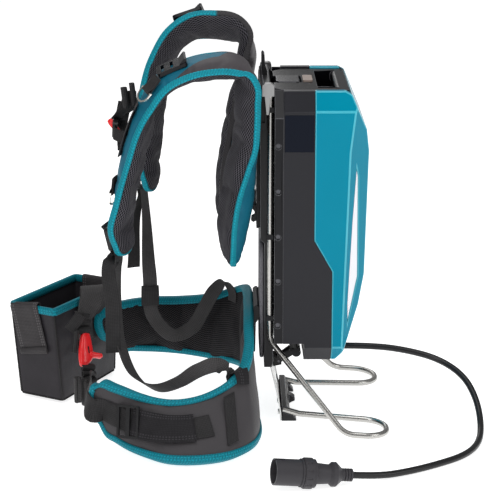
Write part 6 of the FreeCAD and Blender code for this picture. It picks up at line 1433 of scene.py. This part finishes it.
# %% Pouch bands
SLOPE = POUCH_TAPER / POUCH_HEIGHT
band_path = [
    (5.8, 134), (5.7, 150), (5.9, 166), (6.0, 173), (4.6, 176.6), (1.2, 177.8), (-2.4, 176.6),
    (-3.9, 173), (-3.9, 166)]
band_path += [(-3.2 + SLOPE * (pouch_top - z), z) for z in (152, 132, 112, 96, 91)]
band_path += [(-3.6 + SLOPE * 84, 88.4), (-5.4 + SLOPE * 84, 88.2), (-6.2 + SLOPE * 84, 91)]
band_path += [(-5.8 + SLOPE * 80, 99)]
BAND_WIDTH = 58.0
BAND_OUTSIDE = 7


def pouch_band(name, end, across, slant):
    """The band over a short rim; slant is how far it drifts sideways on its way down, in mm for each mm."""
    sign = -1 if end else 1
    wide = (pouch_away * -sign + Vector((0, 0, slant * sign))).normalized()
    places = []
    for index, (a, z) in enumerate(band_path):
        drop = max(0.0, pouch_top - z) if index >= BAND_OUTSIDE else 0.0
        places.append(pouch_spot(end + sign * a, across - slant * drop, z))
    route = []
    for index, here in enumerate(places):
        run = (places[min(index + 1, len(places) - 1)] - places[max(index - 1, 0)]).normalized()
        flat = (wide - run * wide.dot(run)).normalized()
        route.append((here, flat, run.cross(flat).normalized(), run, BAND_WIDTH * MM))
    ribbon(name, route, band_cloth, "pouch_bands")


pouch_band("pouch_band_near", 0, 61.0, 0.15)
pouch_band("pouch_band_far", POUCH_LENGTH, 44.0, 0.0)

# %% [markdown]
# Two webbings lie on the pouch. The strap that carries it comes from the far wing of the belt, and the wide
# band from the waist buckle runs over to it and hangs down outside.

# %% Webbing of the far side of the belt
POUCH_HANGER_Z = 108.0
seat = -(WEB_THICKNESS / 2 + SEAT_GAP)
hanger_line = belt_rows(8 / 3, 4 / 3, WAIST_WEB_WIDTH, belt_lift, -3)
for u, v in ((136.0, -2.0), (108.0, 0.9), (66.0, 0.9)):
    hanger_line += rows_of([pouch_spot(u, v + seat, POUCH_HANGER_Z)], (0, 0, -1), WAIST_WEB_WIDTH)
strand("pouch_hanger", hanger_line, web_cloth, "belt_webbing_right", parts=4)
band_line = rows_of([waist_spot(0, WAIST_HALF + SEAT_GAP), waist_spot(0, WAIST_HALF + 10)], waist_wide * -1,
                    WEB_WIDTH)
band_line += RIGHT_BAND_LINE
for z in (150.0, 120.0, 96.0):
    out = seat - WEB_THICKNESS - SEAT_GAP - (4.0 if z > 140 else 0.0)
    band_line += rows_of([pouch_spot(84.0, out, z)], (0.864, -0.503, 0), 44.0)
strand("belt_band_right", band_line, pale_web, "belt_webbing_right", parts=8)
print("pouch and far webbing done")

# %% [markdown]
# A thin foam pad lies behind the harness, on the back plate. It is a rounded slab, so it starts as one ring
# of points, is carried forward over its rounded edge and then closes inwards with a slight crown.

# %% Pad on the back plate
PAD_ROWS = ((0.4, 1.0), (0.9, 1.0), (0.985, 0.86), (1.0, 0.4), (1.0, -0.4), (0.985, -0.86), (0.95, -0.99),
            (0.86, -1.0), (0.84, -0.82), (0.82, -1.0), (0.6, -1.12), (0.3, -1.16), (0.05, -1.17))
low, high = [Vector(corner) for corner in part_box("plate_pad")]
pad_middle = (low + high) * 0.5
pad_half = (high - low) * 0.5
pad_rings = []
for share, depth in PAD_ROWS:
    tall = 1 - (1 - share) * 0.75
    ring = [pad_middle + Vector((c * pad_half.x * share, depth * pad_half.y, s * pad_half.z * tall))
            for c, s in round_spots(48, 0.35, 0.35)]
    pad_rings.append(ring)
pad = lofted("foam_pad", pad_rings, foam, replaces=["plate_pad"])

# %% [markdown]
# Moulded and pressed pieces have small rounded edges, and a highlight runs along each of them. The packed
# solids have sharp edges, so the visible ones are copied: the copy's loose triangles are merged, flat areas
# are joined to single faces, and a narrow bevel softens what is left. The shape itself stays as it is.
# On some pieces the bevel has a paler, shinier finish of its own, a painted highlight along the edge.
# On the largest pieces the bevel keeps its full width, also where small edges stand close to it.

# %% Softened copies of the hard pieces
SOFT_EDGES = {
    "outer_shell": (2.0, 4), "inner_shell": (1.0, 3), "case_cover": (0.8, 2), "handle_deck": (0.9, 3),
    "port_lid": (0.8, 2), "power_button": (0.5, 2), "case_screws": (0.25, 1), "back_plate": (1.0, 2),
    "top_brackets": (0.6, 2), "strap_loops": (0.8, 2), "hanger_tab": (0.8, 2), "harness_plate": (0.8, 2),
    "strut_plate": (0.7, 2), "base_block": (1.6, 3), "latch_bracket": (0.5, 2), "latch_lever": (0.8, 2),
    "belt_bracket": (0.8, 2), "rod_clips": (0.5, 2), "lifter_buckles": (1.1, 3), "webbing_sliders": (0.9, 3),
    "chest_buckle": (0.9, 3), "plug_body": (0.8, 2), "plug_collar": (0.7, 2), "cord_gland": (0.5, 2),
    "side_windows": (0.4, 2), "reflector_strips": (0.3, 2), "frame_bolts": (0.3, 1)}
# These finishes paint a highlight along the bevels of these pieces.
EDGE_HIGHLIGHT = dict.fromkeys(("handle_deck", "port_lid", "inner_shell", "case_cover", "back_plate",
                             "base_block", "latch_lever"), dark_edge_highlight)
EDGE_HIGHLIGHT["outer_shell"] = teal_edge_highlight
SHARP_FROM = math.radians(31)
FACET_FROM = math.radians(5)
FACETED = ("outer_shell", "inner_shell", "case_cover")
FULL_WIDTH = ("outer_shell", "handle_deck", "port_lid", "case_cover", "back_plate", "base_block",
              "power_button")
CARRIER = {"port_lid": "lid", "power_button": "button", "latch_lever": "latch", "plug_collar": "collar"}


def softened(name, width, segments):
    sharp = FACET_FROM if name in FACETED else SHARP_FROM
    source = nodes[name]
    shape = bmesh.new()
    shape.from_mesh(source.data)
    bmesh.ops.remove_doubles(shape, verts=shape.verts, dist=0.000005)
    bmesh.ops.dissolve_limit(shape, angle_limit=math.radians(1.0), verts=shape.verts, edges=shape.edges,
                             delimit={"MATERIAL"})
    for edge in shape.edges:
        edge.smooth = len(edge.link_faces) == 2 and edge.calc_face_angle(math.pi) < sharp
    made = piece_from(shape, name + "_soft", source.data.materials, CARRIER.get(name, PACK),
                      [name])
    bevel = made.modifiers.new("edges", "BEVEL")
    bevel.width = width * MM
    bevel.segments = segments
    bevel.limit_method = "ANGLE"
    bevel.angle_limit = sharp
    bevel.harden_normals = True
    bevel.use_clamp_overlap = name not in FULL_WIDTH
    if name in EDGE_HIGHLIGHT:
        made.data.materials.append(EDGE_HIGHLIGHT[name])
        bevel.material = len(made.data.materials) - 1


for name, (width, segments) in SOFT_EDGES.items():
    softened(name, width, segments)
print("softened", len(SOFT_EDGES))

# %% [markdown]
# The red buckle parts are the brightest small ones: a leaf-shaped body, narrow at the top, with a thumb tab
# at its side, and the pull tab of the chest buckle. All are lofted from rounded sections, so they have no
# hard edge.

# %% Red releases
def moulding(name, rows, origin, axes, finish, body, replaces=()):
    """rows: place along, shift sideways, half width, low and high side, all in millimetres."""
    along, wide, out = axes
    rings = []
    for b, a, half, under, over in rows:
        here = origin + along * (b * MM)
        ring = [here + wide * ((a + half * c) * MM) + out * (s * (over if s > 0 else under) * MM)
                for c, s in round_spots(28, 0.75, 0.75)]
        rings.append(ring)
    lofted(name, rings, finish, body, replaces)

RELEASE_ROWS = [
    (-29, -8, 3, 2, 2.5), (-28.4, -7.6, 5, 3, 4), (-26, -6.6, 7.6, 4, 5.6),
    (-21, -4, 11, 5, 6.6), (-15, -1.4, 13.6, 5, 7), (-6, 0, 14.2, 5, 7.4), (4, 0.6, 13, 5, 7),
    (14, 1.6, 11.4, 5, 6.4), (22, 2.4, 9.4, 4.6, 6), (27, 3, 8, 4, 5.4), (28.6, 3, 6.6, 3, 4.4),
    (29.2, 3, 4, 1.6, 2.6)]
TAB_ROWS = [
    (2, 8, 3, 0, 6.5), (7, 8.6, 5.2, 0, 8.6), (13, 9.4, 5.6, -3, 9.6), (19, 10.2, 4.6, -4.4, 9.4),
    (23, 11, 4.8, -4.2, 10.2), (26, 11.6, 4.8, -3.8, 10.6), (27.6, 11.8, 3.6, -4.6, 9.8),
    (28.2, 11.8, 1.8, -5.6, 8.8)]
SLOT_ROWS = [(-7, 2.2, 1.4, 0, 7.9), (-6, 2.2, 2.2, 0, 8.2), (4, 2.0, 2.2, 0, 8.0), (5, 2.0, 1.4, 0, 7.7)]
PULL_ROWS = [(-2, 0, 2, 2, 2), (-1, 0, 4, 3.4, 4), (4, 0, 5.4, 4, 5.4), (14, 0, 5.0, 4, 5),
             (22, 0, 4.4, 4, 4.6), (27, 0, 3.6, 3, 4), (28.4, 0, 2, 2, 2)]
PULL_TOP = Vector((40, -295.5, 514)) * MM
PULL_LOW = Vector((44, -280, 494)) * MM
waist_axes = (WAIST_ALONG, waist_wide, waist_out)
tab_axes = (waist_wide, WAIST_ALONG * -1, waist_out)
moulding("waist_buckle_body", RELEASE_ROWS, WAIST_MIDDLE, waist_axes, red_plastic, PACK,
         ["waist_buckle"])
moulding("waist_thumb_tab", TAB_ROWS, WAIST_MIDDLE, tab_axes, red_plastic, "waist_lever",
         ["waist_release"])
moulding("waist_slot", SLOT_ROWS, WAIST_MIDDLE, waist_axes, gloss_black, PACK)
pull_run = (PULL_LOW - PULL_TOP).normalized()
pull_wide = pull_run.cross(TO_SIDE).normalized()
moulding("chest_release_tab", PULL_ROWS, PULL_TOP, (pull_run, pull_wide, pull_wide.cross(pull_run)),
         red_plastic, "chest_tab", ["chest_release"])
print("releases done")
